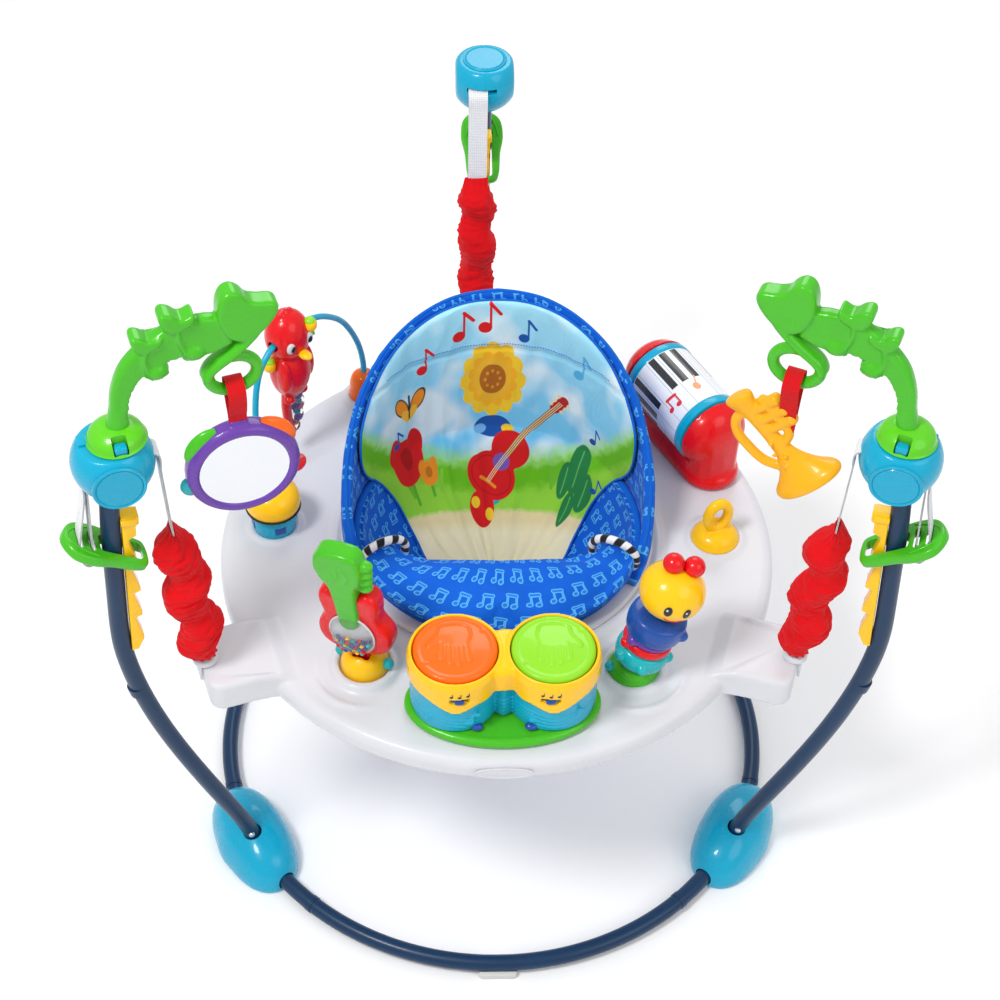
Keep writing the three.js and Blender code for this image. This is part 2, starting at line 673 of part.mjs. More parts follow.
function guitarBody() {
  const outline = new THREE.Shape();
  outline.moveTo(0, 14);
  outline.bezierCurveTo(26, 12, 40, 24, 39, 42);
  outline.bezierCurveTo(38, 58, 26, 62, 29, 74);
  outline.bezierCurveTo(36, 90, 34, 102, 20, 104);
  outline.lineTo(11, 100);
  outline.lineTo(14, 118);
  outline.bezierCurveTo(24, 128, 28, 146, 22, 158);
  outline.bezierCurveTo(14, 168, -14, 168, -22, 158);
  outline.bezierCurveTo(-28, 146, -24, 128, -14, 118);
  outline.lineTo(-11, 100);
  outline.lineTo(-20, 104);
  outline.bezierCurveTo(-34, 102, -36, 90, -29, 74);
  outline.bezierCurveTo(-26, 62, -38, 58, -39, 42);
  outline.bezierCurveTo(-40, 24, -26, 12, 0, 14);
  const body = standingPlate(outline, 24, 3).scale(GUITAR.scale, 1, GUITAR.scale).rotateY(rad(-GUITAR.tilt));
  const tongue = join(alongX(post(11, -7.5, 7.5, 14)), box(-7.5, 7.5, -8, 8, 4, 20));
  const pin = alongX(post(3, -15.4, 15.4, 8));
  return join(body, tongue, pin).rotateX(rad(GUITAR.lean)).translate(0, 0, GUITAR.pivot);
}
add(guitar, 'guitar_base', guitarBase(), 'orange');
add(guitar, 'guitar_toy', guitarBody(), 'red');

// ---------------------------------------------------------------- stacking bug
const BUG = { x: 140, y: -188, lean: 14 };
const bug = new THREE.Group();
bug.position.set(BUG.x, BUG.y, TRAY.top + GAP);
model.add(bug);

function bugStand() {
  const base = turned([[0, 0], [26, 0], [26, 8], [20, 15], [0, 16]], 14);
  const stem = post(7, 6, 124, 8);
  const head = ellipsoid(35, 34, 31, 14, 8).translate(0, 0, 130);
  const feelers = [-10, 12].map((x) => ellipsoid(11.5, 11.5, 11, 8, 6).translate(x, 4, 165));
  const upper = join(stem, head, ...feelers).rotateY(rad(BUG.lean));
  return join(base, overlap(upper, box(-200, 200, -200, 200, 4, 300)));
}

function bugRings() {
  const z = 20;
  const profile = [
    [8, z], [25, z], [28, z + 6], [28, z + 15], [25, z + 21], [30, z + 26], [31, z + 32],
    [26, z + 38], [29, z + 43], [26, z + 48], [31, z + 55], [32, z + 67], [24, z + 76], [8, z + 76], [8, z],
  ];
  const stack = turned(profile, 16);
  const knobs = [[30, 200, 32], [29, 60, 54], [27, 330, 82]].map(([r, angle, height]) => (
    ellipsoid(7, 7, 7, 8, 4).translate(r * Math.cos(rad(angle)), r * Math.sin(rad(angle)), height)));
  return join(stack, ...knobs).rotateY(rad(BUG.lean));
}
add(bug, 'bug_stand', bugStand(), 'yellow');
add(bug, 'bug_rings', bugRings(), 'cyan');

// ---------------------------------------------------------------- loop, arch, bird, spinner
function loopToy() {
  const dome = turned([[0, 0], [26, 0], [25, 7], [17, 15], [0, 18]], 14);
  const loop = new THREE.TorusGeometry(12, 6.5, 6, 12).rotateX(Math.PI / 2).scale(1, 1, 1.45);
  return join(dome, loop.rotateZ(rad(20)).translate(0, 0, 36));
}
add(model, 'loop_toy', loopToy().translate(247, 0, TRAY.top + GAP), 'yellow');

const ARCH = { x: -268, y: 84, length: 190, heading: 54, birdAt: 60, crown: 565 };
const arch = new THREE.Group();
arch.position.set(ARCH.x, ARCH.y, 0);
arch.rotation.z = rad(ARCH.heading);
model.add(arch);

function beadArch() {
  const z = TRAY.top + GAP;
  const wire = tube([
    [0, 0, z + 10], [-4, 0, 440], [-2, 0, 500], [8, 0, 541], [28, 0, 562], [44, 0, ARCH.crown],
    [60, 0, ARCH.crown], [76, 0, ARCH.crown], [94, 0, 562], [124, 0, 547], [156, 0, 516],
    [180, 0, 470], [ARCH.length, 0, 430], [ARCH.length, 0, 400],
  ], 3.6, { steps: 28, sides: 6 });
  const heel = post(12, z, z + 14, 10, 9);
  const boss = turned([[0, z], [17, z], [17, z + 22], [12, z + 34], [0, z + 37]], 12);
  return join(wire, heel, boss.translate(ARCH.length, 0, 0));
}

function bird() {
  const body = ellipsoid(25, 23, 40, 12, 7).translate(0, 0, -49);
  const head = ellipsoid(27, 25, 33, 12, 7).translate(0, 0, 1);
  const tail = ellipsoid(15, 9, 40, 8, 6).translate(2, 4, -113);
  const bore = alongX(post(6.5, -46, 46, 10));
  return cut(join(body, head, tail), bore).translate(ARCH.birdAt, 0, ARCH.crown);
}
add(arch, 'bead_arch', beadArch(), 'cyan');
add(arch, 'bird_toy', bird(), 'red');

function spinnerToy() {
  const cup = turned([[0, 0], [22, 0], [25, 6], [25, 26], [22, 29], [30, 33], [31, 44], [24, 58], [10, 64], [0, 65]], 16);
  return cup;
}
add(model, 'spinner_toy', spinnerToy().translate(-252, 22, TRAY.top + GAP), 'cyan');

// ---------------------------------------------------------------- origin at the bottom centre
model.updateMatrixWorld(true);
const bounds = new THREE.Box3().setFromObject(model, true);
const centre = bounds.getCenter(v3(0, 0, 0));
model.position.set(-centre.x, -centre.y, -bounds.min.z);

export default model;
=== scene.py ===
# The looks of a spring-suspended baby activity seat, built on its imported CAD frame.
# Shapes are drawn in millimetres in the part's own local frames, then placed in metres.
import math

import bpy
from mathutils import Matrix, Vector, noise


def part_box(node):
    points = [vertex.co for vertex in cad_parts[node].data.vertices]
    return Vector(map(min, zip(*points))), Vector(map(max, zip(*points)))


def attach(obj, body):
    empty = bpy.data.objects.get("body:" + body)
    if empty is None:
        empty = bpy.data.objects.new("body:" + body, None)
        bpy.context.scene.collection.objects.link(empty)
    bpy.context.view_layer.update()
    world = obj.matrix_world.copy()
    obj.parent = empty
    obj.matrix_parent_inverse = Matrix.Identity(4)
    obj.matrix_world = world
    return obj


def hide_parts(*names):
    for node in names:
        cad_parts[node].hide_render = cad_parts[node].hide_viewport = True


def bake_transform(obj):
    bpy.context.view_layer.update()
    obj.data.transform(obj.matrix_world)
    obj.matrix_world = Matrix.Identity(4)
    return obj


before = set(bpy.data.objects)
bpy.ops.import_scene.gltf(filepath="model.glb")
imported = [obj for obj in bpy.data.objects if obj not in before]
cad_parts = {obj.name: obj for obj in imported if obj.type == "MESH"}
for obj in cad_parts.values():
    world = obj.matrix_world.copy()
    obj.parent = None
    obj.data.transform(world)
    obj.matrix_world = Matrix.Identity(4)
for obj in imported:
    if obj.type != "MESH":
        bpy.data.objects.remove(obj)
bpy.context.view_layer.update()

# ---------------------------------------------------------------- the local frames
MM = 0.001
AXIS = 0.02  # the least radius of a turned shape, so that its ends stay open enough to cap
RING_R, TUBE_R, RING_Z = 330.0, 9.6, 12.8
SPINNER = (-252.0, 22.0)
SIDES = ("left", "right", "rear")
LEG_AT = {"left": 211.5, "right": -31.5, "rear": 91.6}
LEG_YAW = {"left": 198.0, "right": -18.0, "rear": 91.6}
TRAY_TOP = 376.0
TOY_FLOOR = TRAY_TOP + 0.4  # a hair above the tray, where the toys' feet begin
SEAT_Y = 8.0

spinner_low, spinner_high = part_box("spinner_toy")
ring_centre = (Vector(spinner_low) + Vector(spinner_high)) / 2 - Vector((*SPINNER, 0)) * MM
ROW = Matrix.Translation((ring_centre.x, ring_centre.y, 0)) @ Matrix.Scale(MM, 4)


def turned(axis, degrees):
    return Matrix.Rotation(math.radians(degrees), 4, axis)


def shift(x, y, z=0.0):
    return Matrix.Translation((x, y, z))


def polar(radius, degrees):
    return radius * math.cos(math.radians(degrees)), radius * math.sin(math.radians(degrees))


LEG = {
    side: ROW @ shift(*polar(RING_R, LEG_AT[side])) @ turned("Z", LEG_YAW[side]) for side in SIDES
}
PEG_S = 84.0
RIGHT_PEG_S = 92.0
ARM = {
    "left": LEG["left"],
    "right": LEG["right"] @ shift(RIGHT_PEG_S, 0) @ turned("Z", -6) @ shift(-PEG_S, 0),
}
SEAT = ROW @ shift(0, SEAT_Y)
STRAP = {"left": LEG["left"], "right": LEG["right"], "rear": LEG["rear"] @ shift(0, 9)}


def leg_in_row(side):
    """A leg's place on the floor ring, with its X axis pointing outwards."""
    return shift(*polar(RING_R, LEG_AT[side])) @ turned("Z", LEG_YAW[side])


# ---------------------------------------------------------------- curves and shapes
def latitude(v):
    """v from 0 to 1 as an angle from pole to pole, stopping just short of both."""
    return math.radians(-89.5 + 179 * v)


def squared(wave, power):
    """A sine or cosine made fuller (power below 1) with its sign kept."""
    return math.copysign(abs(wave) ** power, wave)


def spans(points, closed=False):
    """At each point, the vector from the point before it to the point after it."""
    count = len(points)
    if closed:
        return [points[(i + 1) % count] - points[i - 1] for i in range(count)]
    return [points[min(i + 1, count - 1)] - points[max(i - 1, 0)] for i in range(count)]


def spline(points, per=8, closed=False):
    """Points along a Catmull-Rom curve through the given ones."""
    pts = [Vector(p) for p in points]
    count = len(pts)
    out = []
    for i in range(count if closed else count - 1):
        if closed:
            p0, p1, p2, p3 = (pts[(i + k) % count] for k in (-1, 0, 1, 2))
        else:
            p0, p1 = pts[max(i - 1, 0)], pts[i]
            p2, p3 = pts[i + 1], pts[min(i + 2, count - 1)]
        for k in range(per):
            t = k / per
            square, cube = 2 * p0 - 5 * p1 + 4 * p2 - p3, 3 * p1 - p0 - 3 * p2 + p3
            out.append(0.5 * ((2 * p1) + (p2 - p0) * t + square * t * t + cube * t ** 3))
    if not closed:
        out.append(pts[-1])
    return out


def grid(point, across, along, wrap=False, cap=False):
    """A surface of point(u, v), u and v from 0 to 1. Returns vertices, faces and a UV per corner."""
    columns = across if wrap else across + 1
    verts = [point(i / across, j / along) for j in range(along + 1) for i in range(columns)]
    faces, uvs = [], []
    for j in range(along):
        for i in range(across):
            k = (i + 1) % columns
            faces.append((j * columns + i, j * columns + k, (j + 1) * columns + k, (j + 1) * columns + i))
            u0, u1, v0, v1 = i / across, (i + 1) / across, j / along, (j + 1) / along
            uvs.append(((u0, v0), (u1, v0), (u1, v1), (u0, v1)))
    if cap:
        first = tuple(reversed(range(columns)))
        last = tuple(along * columns + i for i in range(columns))
        faces += [first, last]
        uvs += [tuple((0, 0) for _ in first), tuple((0, 0) for _ in last)]
    return verts, faces, uvs


def revolve(profile, sides=64):
    """A solid of revolution about Z through (radius, height) points, closed where it meets the axis."""
    def point(u, v):
        r, z = profile[round(v * (len(profile) - 1))]
        return Vector((*polar(max(r, AXIS), 360 * u), z))
    return grid(point, sides, len(profile) - 1, wrap=True, cap=True)


def rounded(profile, per=5):
    """The profile with its corners softened."""
    return [(max(p.x, 0.0), p.y) for p in spline([(r, z, 0) for r, z in profile], per)]


def sweep(path, radius, sides=20, closed=False, flat=1.0):
    """A tube along path; radius is a number or one per point; flat squeezes its second side."""
    pts = [Vector(p) for p in path]
    count = len(pts)
    radii = radius if isinstance(radius, (list, tuple)) else [radius] * count
    ways = [way.normalized() for way in spans(pts, closed)]
    side = ways[0].orthogonal().normalized()
    if abs(ways[0].y) < 0.9:
        side = ways[0].cross(Vector((0, 1, 0))).normalized()
    frames = []
    for way in ways:
        side = (side - way * side.dot(way)).normalized()
        frames.append((side.copy(), way.cross(side)))
    total = count if closed else count - 1

    def point(u, v):
        i = round(v * total) % count
        a, b = frames[i]
        x, y = polar(radii[i], 360 * u)
        return pts[i] + a * x + b * (y * flat)
    return grid(point, sides, total, wrap=True, cap=not closed)


def ball(centre, radii, across=32, along=20):
    """An ellipsoid."""
    rx, ry, rz = radii if isinstance(radii, tuple) else (radii,) * 3

    def point(u, v):
        lift = latitude(v)
        x, y = polar(math.cos(lift), 360 * u)
        return Vector(centre) + Vector((rx * x, ry * y, rz * math.sin(lift)))
    return grid(point, across, along, wrap=True, cap=True)


def offset(outline, distance):
    """A closed 2-D outline moved inwards by distance."""
    area = sum(a.x * b.y - b.x * a.y for a, b in zip(outline, outline[1:] + outline[:1]))
    sign = 1 if area > 0 else -1
    ways = [way.normalized() for way in spans(outline, closed=True)]
    return [here + Vector((-way.y, way.x)) * (distance * sign) for here, way in zip(outline, ways)]


def slab(outline, low, high, edge=1.2, steps=3):
    """An outline in X and Y extruded from low to high, with rounded edges."""
    flat = [Vector(p[:2]) for p in outline]
    rings = []
    for end, way in ((low, 1), (high, -1)):
        turn = []
        for k in range(steps + 1):
            angle = math.radians(90 * k / steps)
            inward, rise = edge * (1 - math.sin(angle)), edge * (1 - math.cos(angle))
            turn.append((inward, end + way * rise))
        rings += turn if way > 0 else turn[::-1]
    layers = [(offset(flat, inward), z) for inward, z in rings]

    def point(u, v):
        ring, z = layers[round(v * (len(layers) - 1))]
        p = ring[round(u * len(ring)) % len(ring)]
        return Vector((p.x, p.y, z))
    return grid(point, len(flat), len(layers) - 1, wrap=True, cap=True)


def moved(shape, matrix):
    """The shape with matrix applied to its points."""
    verts, faces, uvs = shape
    return [matrix @ v for v in verts], faces, uvs


UPRIGHT = turned("X", 90)


def upright(outline, half, edge=1.5):
    """An outline in X and Z, given its thickness along Y."""
    return moved(slab(outline, -half, half, edge), UPRIGHT)


def oval(middle, rx, rz, y=0.0, count=60):
    """Points of an upright ellipse; middle is its place in X and Z."""
    turns = (polar(1, 360 * i / count) for i in range(count))
    return [Vector((middle[0] + rx * c, y, middle[1] + rz * s)) for c, s in turns]


def circle(r, x=0.0, y=0.0, sides=40):
    return [Vector((x, y)) + Vector(polar(r, 360 * i / sides)) for i in range(sides)]


def rectangle(x0, x1, y0, y1, r=2.0, steps=4):
    """The outline of a rectangle with corners of radius r."""
    corners = [(x1 - r, y1 - r, 0), (x0 + r, y1 - r, 90), (x0 + r, y0 + r, 180), (x1 - r, y0 + r, 270)]
    return [Vector((x, y)) + Vector(polar(r, start + 90 * k / steps))
            for x, y, start in corners for k in range(steps + 1)]


def block(x0, x1, y0, y1, z0, z1, r=2.0):
    """A box whose upright edges have radius r."""
    return slab(rectangle(x0, x1, y0, y1, r), z0, z1, min(r, 1.5))


def band(points, widths):
    """The outline of a band along 2-D points, with a width at each."""
    curve = spline([(x, y, w) for (x, y), w in zip(points, widths)], 6)
    sides = ([], [])
    for here, way in zip(curve, spans(curve)):
        normal = Vector((-way.y, way.x)).normalized() * (here.z / 2)
        sides[0].append(here.xy + normal)
        sides[1].append(here.xy - normal)
    return sides[0] + sides[1][::-1]


def ribbon(path, width, thick, per=6):
    """A flat strip in the X-Z plane of its frame, as wide as width across Y, with UVs in millimetres."""
    curve = spline([(s, 0, z) for s, z in path], per)
    ways = [way.normalized() for way in spans(curve)]
    corners = [(-0.5, -0.5), (0.5, -0.5), (0.5, 0.5), (-0.5, 0.5)]
    lengths = [0.0]
    for a, b in zip(curve, curve[1:]):
        lengths.append(lengths[-1] + (b - a).length)

    def point(u, v):
        i = round(v * (len(curve) - 1))
        across, lift = corners[round(u * 4) % 4]
        normal = Vector((-ways[i].z, 0, ways[i].x))
        return curve[i] + Vector((0, across * width, 0)) + normal * (lift * thick)
    verts, faces, uvs = grid(point, 4, len(curve) - 1, wrap=True, cap=True)
    scaled = []
    for face in uvs:
        scaled.append(tuple((u * 4 * width, lengths[round(v * (len(curve) - 1))]) for u, v in face))
    return verts, faces, scaled


# ---------------------------------------------------------------- pieces
def new_object(name, shapes, matrix=Matrix.Identity(4)):
    """One mesh object from several shapes, placed by matrix."""
    verts, faces, uvs = [], [], []
    for shape_verts, shape_faces, shape_uvs in shapes:
        start = len(verts)
        verts += [matrix @ v for v in shape_verts]
        faces += [tuple(start + i for i in face) for face in shape_faces]
        uvs += shape_uvs
    mesh = bpy.data.meshes.new(name)
    mesh.from_pydata(verts, [], faces)
    layer = mesh.uv_layers.new(name="UVMap")
    layer.data.foreach_set("uv", [x for face in uvs for corner in face for x in corner])
    mesh.validate()
    mesh.update()
    obj = bpy.data.objects.new(name, mesh)
    bpy.context.scene.collection.objects.link(obj)
    return obj


def bake_modifiers(obj):
    """Replaces the object's mesh with the one its modifiers make."""
    bpy.context.view_layer.update()
    evaluated = obj.evaluated_get(bpy.context.evaluated_depsgraph_get())
    mesh = bpy.data.meshes.new_from_object(evaluated)
    obj.modifiers.clear()
    obj.data = mesh


def finish_piece(obj, material, body, replaces=(), sharp=40):
    """Shading, material and body for a piece whose mesh is final."""
    obj.data.materials.clear()
    obj.data.materials.append(material)
    obj.data.shade_smooth()
    if sharp:
        obj.data.set_sharp_from_angle(angle=math.radians(sharp))
    if replaces:
        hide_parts(*replaces)
    if isinstance(body, str):
        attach(obj, body)
    return obj


def piece(name, shapes, material, body, matrix=ROW, replaces=(), sharp=40):
    """A finished piece that rides on body, made of shapes in the millimetres of matrix's frame."""
    return finish_piece(new_object(name, shapes, matrix), material, body, replaces, sharp=sharp)


def carve(obj, cutters):
    """Cuts the cutter shapes out of an object still in millimetres."""
    for shape in cutters:
        tool = new_object("cutter", [shape])
        cut = obj.modifiers.new("cut", "BOOLEAN")
        cut.object = tool
        cut.operation = "DIFFERENCE"
        cut.solver = "MANIFOLD"
        bake_modifiers(obj)
        bpy.data.objects.remove(tool)
    return obj


def moulded(name, shapes, material, body, matrix=ROW, replaces=(), cuts=(), voxel=1.5, relax=6):
    """Several solids fused into one moulded body with soft inner corners."""
    obj = new_object(name, shapes)
    fuse = obj.modifiers.new("fuse", "REMESH")
    fuse.mode = "VOXEL"
    fuse.voxel_size = voxel
    bake_modifiers(obj)
    if cuts:
        carve(obj, cuts)
        fuse_again = obj.modifiers.new("fuse_again", "REMESH")
        fuse_again.mode = "VOXEL"
        fuse_again.voxel_size = voxel
    soften = obj.modifiers.new("soften", "SMOOTH")
    soften.factor = 0.5
    soften.iterations = relax
    bake_modifiers(obj)
    obj.data.transform(matrix)
    return finish_piece(obj, material, body, replaces, sharp=0)


def cut_piece(name, shapes, cutters, material, body, matrix=ROW, replaces=(), sharp=35):
    """A piece with the cutter shapes taken out of it."""
    obj = carve(new_object(name, shapes), cutters)
    obj.data.transform(matrix)
    return finish_piece(obj, material, body, replaces, sharp=sharp)


def ring_solid(profile, sides=96):
    """A ring turned about Z from a closed loop of (radius, height) points."""
    count = len(profile)
    verts = [Vector((*polar(r, 360 * i / sides), z)) for i in range(sides) for r, z in profile]
    faces, uvs = [], []
    for i in range(sides):
        for j in range(count):
            a, b = i * count, ((i + 1) % sides) * count
            k = (j + 1) % count
            faces.append((a + j, b + j, b + k, a + k))
            uvs.append(((i, j), (i + 1, j), (i + 1, j + 1), (i, j + 1)))
    return verts, faces, uvs


def lookup(table, value):
    """Straight-line lookup in (x, y) pairs sorted by x."""
    for (x0, y0), (x1, y1) in zip(table, table[1:]):
        if value <= x1:
            return y0 + (y1 - y0) * max(0.0, (value - x0) / (x1 - x0))
    return table[-1][1]


# ---------------------------------------------------------------- shader maths
class Val:
    """A number or vector inside a material, so that patterns can be written as formulas."""

    def __init__(self, tree, socket):
        self.tree, self.socket = tree, socket

    def op(self, kind, *others, clamp=False):
        node = self.tree.nodes.new("ShaderNodeMath")
        node.operation, node.use_clamp = kind, clamp
        for slot, value in zip(node.inputs, (self, *others)):
            if isinstance(value, Val):
                self.tree.links.new(value.socket, slot)
            else:
                slot.default_value = value
        return Val(self.tree, node.outputs[0])

    def __add__(self, o): return self.op("ADD", o)
    def __radd__(self, o): return self.op("ADD", o)
    def __sub__(self, o): return self.op("SUBTRACT", o)
    def __rsub__(self, o): return (self * -1) + o
    def __mul__(self, o): return self.op("MULTIPLY", o)
    def __rmul__(self, o): return self.op("MULTIPLY", o)
    def __truediv__(self, o): return self.op("DIVIDE", o)
    def fract(self): return self.op("FRACT")
    def floor(self): return self.op("FLOOR")
    def abs(self): return self.op("ABSOLUTE")
    def sin(self): return self.op("SINE")
    def sqrt(self): return self.op("SQRT")
    def min(self, o): return self.op("MINIMUM", o)
    def max(self, o): return self.op("MAXIMUM", o)
    def clamp(self): return self.op("ADD", 0.0, clamp=True)


def length(x, y):
    return (x * x + y * y).sqrt()


def inside(distance, soft):
    """1 where distance is negative, 0 outside, with a soft edge."""
    return (0.5 - distance / soft).clamp()


def ellipse(x, y, cx, cy, rx, ry):
    """A signed distance, roughly, to an ellipse."""
    return (length((x - cx) / rx, (y - cy) / ry) - 1) * min(rx, ry)


def segment(x, y, ax, ay, bx, by, r):
    """The distance to a round-ended stroke from a to b."""
    dx, dy = bx - ax, by - ay
    along = (((x - ax) * dx + (y - ay) * dy) / (dx * dx + dy * dy)).clamp()
    return length(x - ax - along * dx, y - ay - along * dy) - r


def unit_box(x, y, cx, cy, hx, hy):
    return ((x - cx).abs() - hx).max((y - cy).abs() - hy)


def start_material(name, slot):
    """A new node material that remembers the library slot it stands for."""
    material = bpy.data.materials.new(name)
    material.use_nodes = True
    material["slot"] = slot
    tree = material.node_tree
    shader = tree.nodes["Principled BSDF"]
    return material, tree, shader


def coordinates(tree, kind="Object"):
    """A texture position as a socket, and its three parts as values."""
    node = tree.nodes.new("ShaderNodeTexCoord")
    split = tree.nodes.new("ShaderNodeSeparateXYZ")
    tree.links.new(node.outputs[kind], split.inputs[0])
    return node.outputs[kind], [Val(tree, split.outputs[i]) for i in range(3)]


def noise_value(tree, vector, scale, detail=2.0):
    node = tree.nodes.new("ShaderNodeTexNoise")
    node.inputs["Scale"].default_value = scale
    node.inputs["Detail"].default_value = detail
    tree.links.new(vector, node.inputs["Vector"])
    return Val(tree, node.outputs["Fac"])


def mix(tree, mask, first, second):
    """first where mask is 0, second where it is 1; each is a colour or a colour socket."""
    node = tree.nodes.new("ShaderNodeMix")
    node.data_type = "RGBA"
    if isinstance(mask, Val):
        tree.links.new(mask.socket, node.inputs[0])
    else:
        node.inputs[0].default_value = mask
    for slot, colour in ((node.inputs[6], first), (node.inputs[7], second)):
        if isinstance(colour, tuple):
            slot.default_value = (*colour, 1)
        else:
            tree.links.new(colour, slot)
    return node.outputs[2]


def bumped(tree, shader, height, distance, strength=1.0):
    """Tilts the shader's normal by a height pattern; distance is in metres."""
    bump = tree.nodes.new("ShaderNodeBump")
    bump.inputs["Distance"].default_value = distance
    bump.inputs["Strength"].default_value = strength
    tree.links.new(height.socket, bump.inputs["Height"])
    tree.links.new(bump.outputs[0], shader.inputs["Normal"])


def shade(colour, factor):
    return tuple(min(c * factor, 1.0) for c in colour)


def plastic(name, slot, colour, rough=0.26, coat=0.3):
    """Glossy moulded plastic: slight flow marks, faint surface ripple and dulled, handled patches."""
    material, tree, shader = start_material(name, slot)
    where, _ = coordinates(tree)
    flow = noise_value(tree, where, 14, 3)
    handled = noise_value(tree, where, 55, 4)
    ripple = noise_value(tree, where, 420, 1)
    tree.links.new(mix(tree, flow, shade(colour, 0.93), shade(colour, 1.06)), shader.inputs["Base Color"])
    tree.links.new((handled * 0.14 + (rough - 0.06)).socket, shader.inputs["Roughness"])
    shader.inputs["Specular IOR Level"].default_value = 0.22
    shader.inputs["Coat Weight"].default_value = coat
    shader.inputs["Coat Roughness"].default_value = 0.06
    bumped(tree, shader, ripple, 0.00006, 0.6)
    return material


def pattern_plastic(name, slot, paint, relief=None, rough=0.26, coat=0.3):
    """Glossy plastic whose colour is painted from the UV position in millimetres."""
    material, tree, shader = start_material(name, slot)
    where, _ = coordinates(tree)
    _, (u, v, _w) = coordinates(tree, "UV")
    flow = noise_value(tree, where, 60, 3)
    colour, height = paint(tree, u, v)
    tree.links.new(mix(tree, flow * 0.06, colour, (0.2, 0.2, 0.2)), shader.inputs["Base Color"])
    tree.links.new((flow * 0.12 + (rough - 0.05)).socket, shader.inputs["Roughness"])
    shader.inputs["Coat Weight"].default_value = coat
    if height is not None:
        bumped(tree, shader, height, relief or 0.0004)
    return material


def painted_steel(name, slot, colour):
    """Navy powder coat: fine orange peel under a clear gloss."""
    material, tree, shader = start_material(name, slot)
    where, _ = coordinates(tree)
    tone = noise_value(tree, where, 9, 3)
    peel = noise_value(tree, where, 520, 2)
    tree.links.new(mix(tree, tone, shade(colour, 0.85), shade(colour, 1.15)), shader.inputs["Base Color"])
    tree.links.new((peel * 0.1 + 0.3).socket, shader.inputs["Roughness"])
    shader.inputs["Specular IOR Level"].default_value = 0.3
    shader.inputs["Coat Weight"].default_value = 0.08
    shader.inputs["Coat Roughness"].default_value = 0.08
    bumped(tree, shader, peel, 0.00005, 0.5)
    return material


def bare_metal(name, slot, colour, rough, worn=0.86):
    """Metal with fine scuffs; worn is how dark the scuffed parts get, 1 for none."""
    material, tree, shader = start_material(name, slot)
    where, _ = coordinates(tree)
    scuff = noise_value(tree, where, 240, 4)
    tree.links.new(mix(tree, scuff, shade(colour, worn), colour), shader.inputs["Base Color"])
    tree.links.new((scuff * (1 - worn) + rough).socket, shader.inputs["Roughness"])
    shader.inputs["Metallic"].default_value = 1.0
    return material


def weave_height(x, y, z, pitch):
    """A plain weave that needs no UVs: crossing sine threads on all three axes."""
    turn = 2 * math.pi / pitch
    sx, sy, sz = (x * turn).sin(), (y * turn).sin(), (z * turn).sin()
    return sx * sy + sy * sz + sz * sx


def cloth(name, slot, colour, pitch=0.0011, creases=0.0012, sheen=0.35, paint=None):
    """Fabric: woven bump, soft creases, slightly mottled dye. paint adds a printed pattern from UVs."""
    material, tree, shader = start_material(name, slot)
    where, (x, y, z) = coordinates(tree)
    mottle = noise_value(tree, where, 30, 4)
    base = mix(tree, mottle, shade(colour, 0.84), shade(colour, 1.12))
    if paint:
        _, (u, v, _w) = coordinates(tree, "UV")
        base = mix(tree, mottle * 0.05, paint(tree, u, v, base), (0.06, 0.07, 0.09))
    tree.links.new(base, shader.inputs["Base Color"])
    shader.inputs["Roughness"].default_value = 0.82
    shader.inputs["Specular IOR Level"].default_value = 0.15
    shader.inputs["Sheen Weight"].default_value = sheen
    shader.inputs["Sheen Roughness"].default_value = 0.4
    crease = noise_value(tree, where, 42, 3)
    threads = weave_height(x, y, z, pitch)
    bumped(tree, shader, threads * 0.06 + crease * (creases / 0.0012) * 1.6, 0.0012, 0.8)
    return material


WAFFLE_CELL = 2.2


def waffle(name, slot):
    """White webbing woven in small sunken squares, with painted shade in the sunken part."""
    material, tree, shader = start_material(name, slot)
    _, (u, v, _w) = coordinates(tree, "UV")
    turn = math.pi / WAFFLE_CELL
    cell = (u * turn).sin().abs() * (v * turn).sin().abs()
    # the sunken part of each square is painted darker: painted shade in the recesses
    tree.links.new(mix(tree, cell, (0.93, 0.94, 0.96), (0.70, 0.72, 0.76)), shader.inputs["Base Color"])
    shader.inputs["Roughness"].default_value = 0.8
    shader.inputs["Sheen Weight"].default_value = 0.2
    bumped(tree, shader, cell * -1, 0.0006)
    return material


def clear(name, slot):
    """Thin clear plastic with a faint haze."""
    material, tree, shader = start_material(name, slot)
    where, _ = coordinates(tree)
    haze = noise_value(tree, where, 120, 2)
    shader.inputs["Base Color"].default_value = (0.94, 0.97, 0.98, 1)
    tree.links.new((haze * 0.05 + 0.02).socket, shader.inputs["Roughness"])
    shader.inputs["Transmission Weight"].default_value = 0.92
    shader.inputs["IOR"].default_value = 1.25
    return material


NAVY = painted_steel("navy_paint", "navy_tube", (0.003, 0.030, 0.085))
CYAN = plastic("cyan", "cyan_plastic", (0.002, 0.36, 0.56))
GREEN = plastic("green", "green_plastic", (0.060, 0.46, 0.012))
LEAF = plastic("leaf", "green_plastic", (0.11, 0.56, 0.012))
LIME = plastic("lime", "lime_plastic", (0.26, 0.66, 0.018))
YELLOW = plastic("yellow", "yellow_plastic", (0.98, 0.54, 0.004))
ORANGE = plastic("orange", "orange_plastic", (0.90, 0.135, 0.003))
RED = plastic("red", "red_plastic", (0.72, 0.004, 0.008))
PURPLE = plastic("purple", "purple_plastic", (0.13, 0.045, 0.34))
TEAL = plastic("teal", "cyan_plastic", (0.01, 0.42, 0.46))
DEEP_BLUE = plastic("deep_blue", "cyan_plastic", (0.012, 0.07, 0.34))
WHITE = plastic("white", "white_plastic", (0.65, 0.66, 0.70), rough=0.32, coat=0.1)
BLACK = plastic("black", "black_plastic", (0.012, 0.014, 0.02))
PINK = plastic("pink", "red_plastic", (0.80, 0.16, 0.16))
RUBBER = plastic("pad_grey", "white_plastic", (0.62, 0.62, 0.60), rough=0.6, coat=0.0)
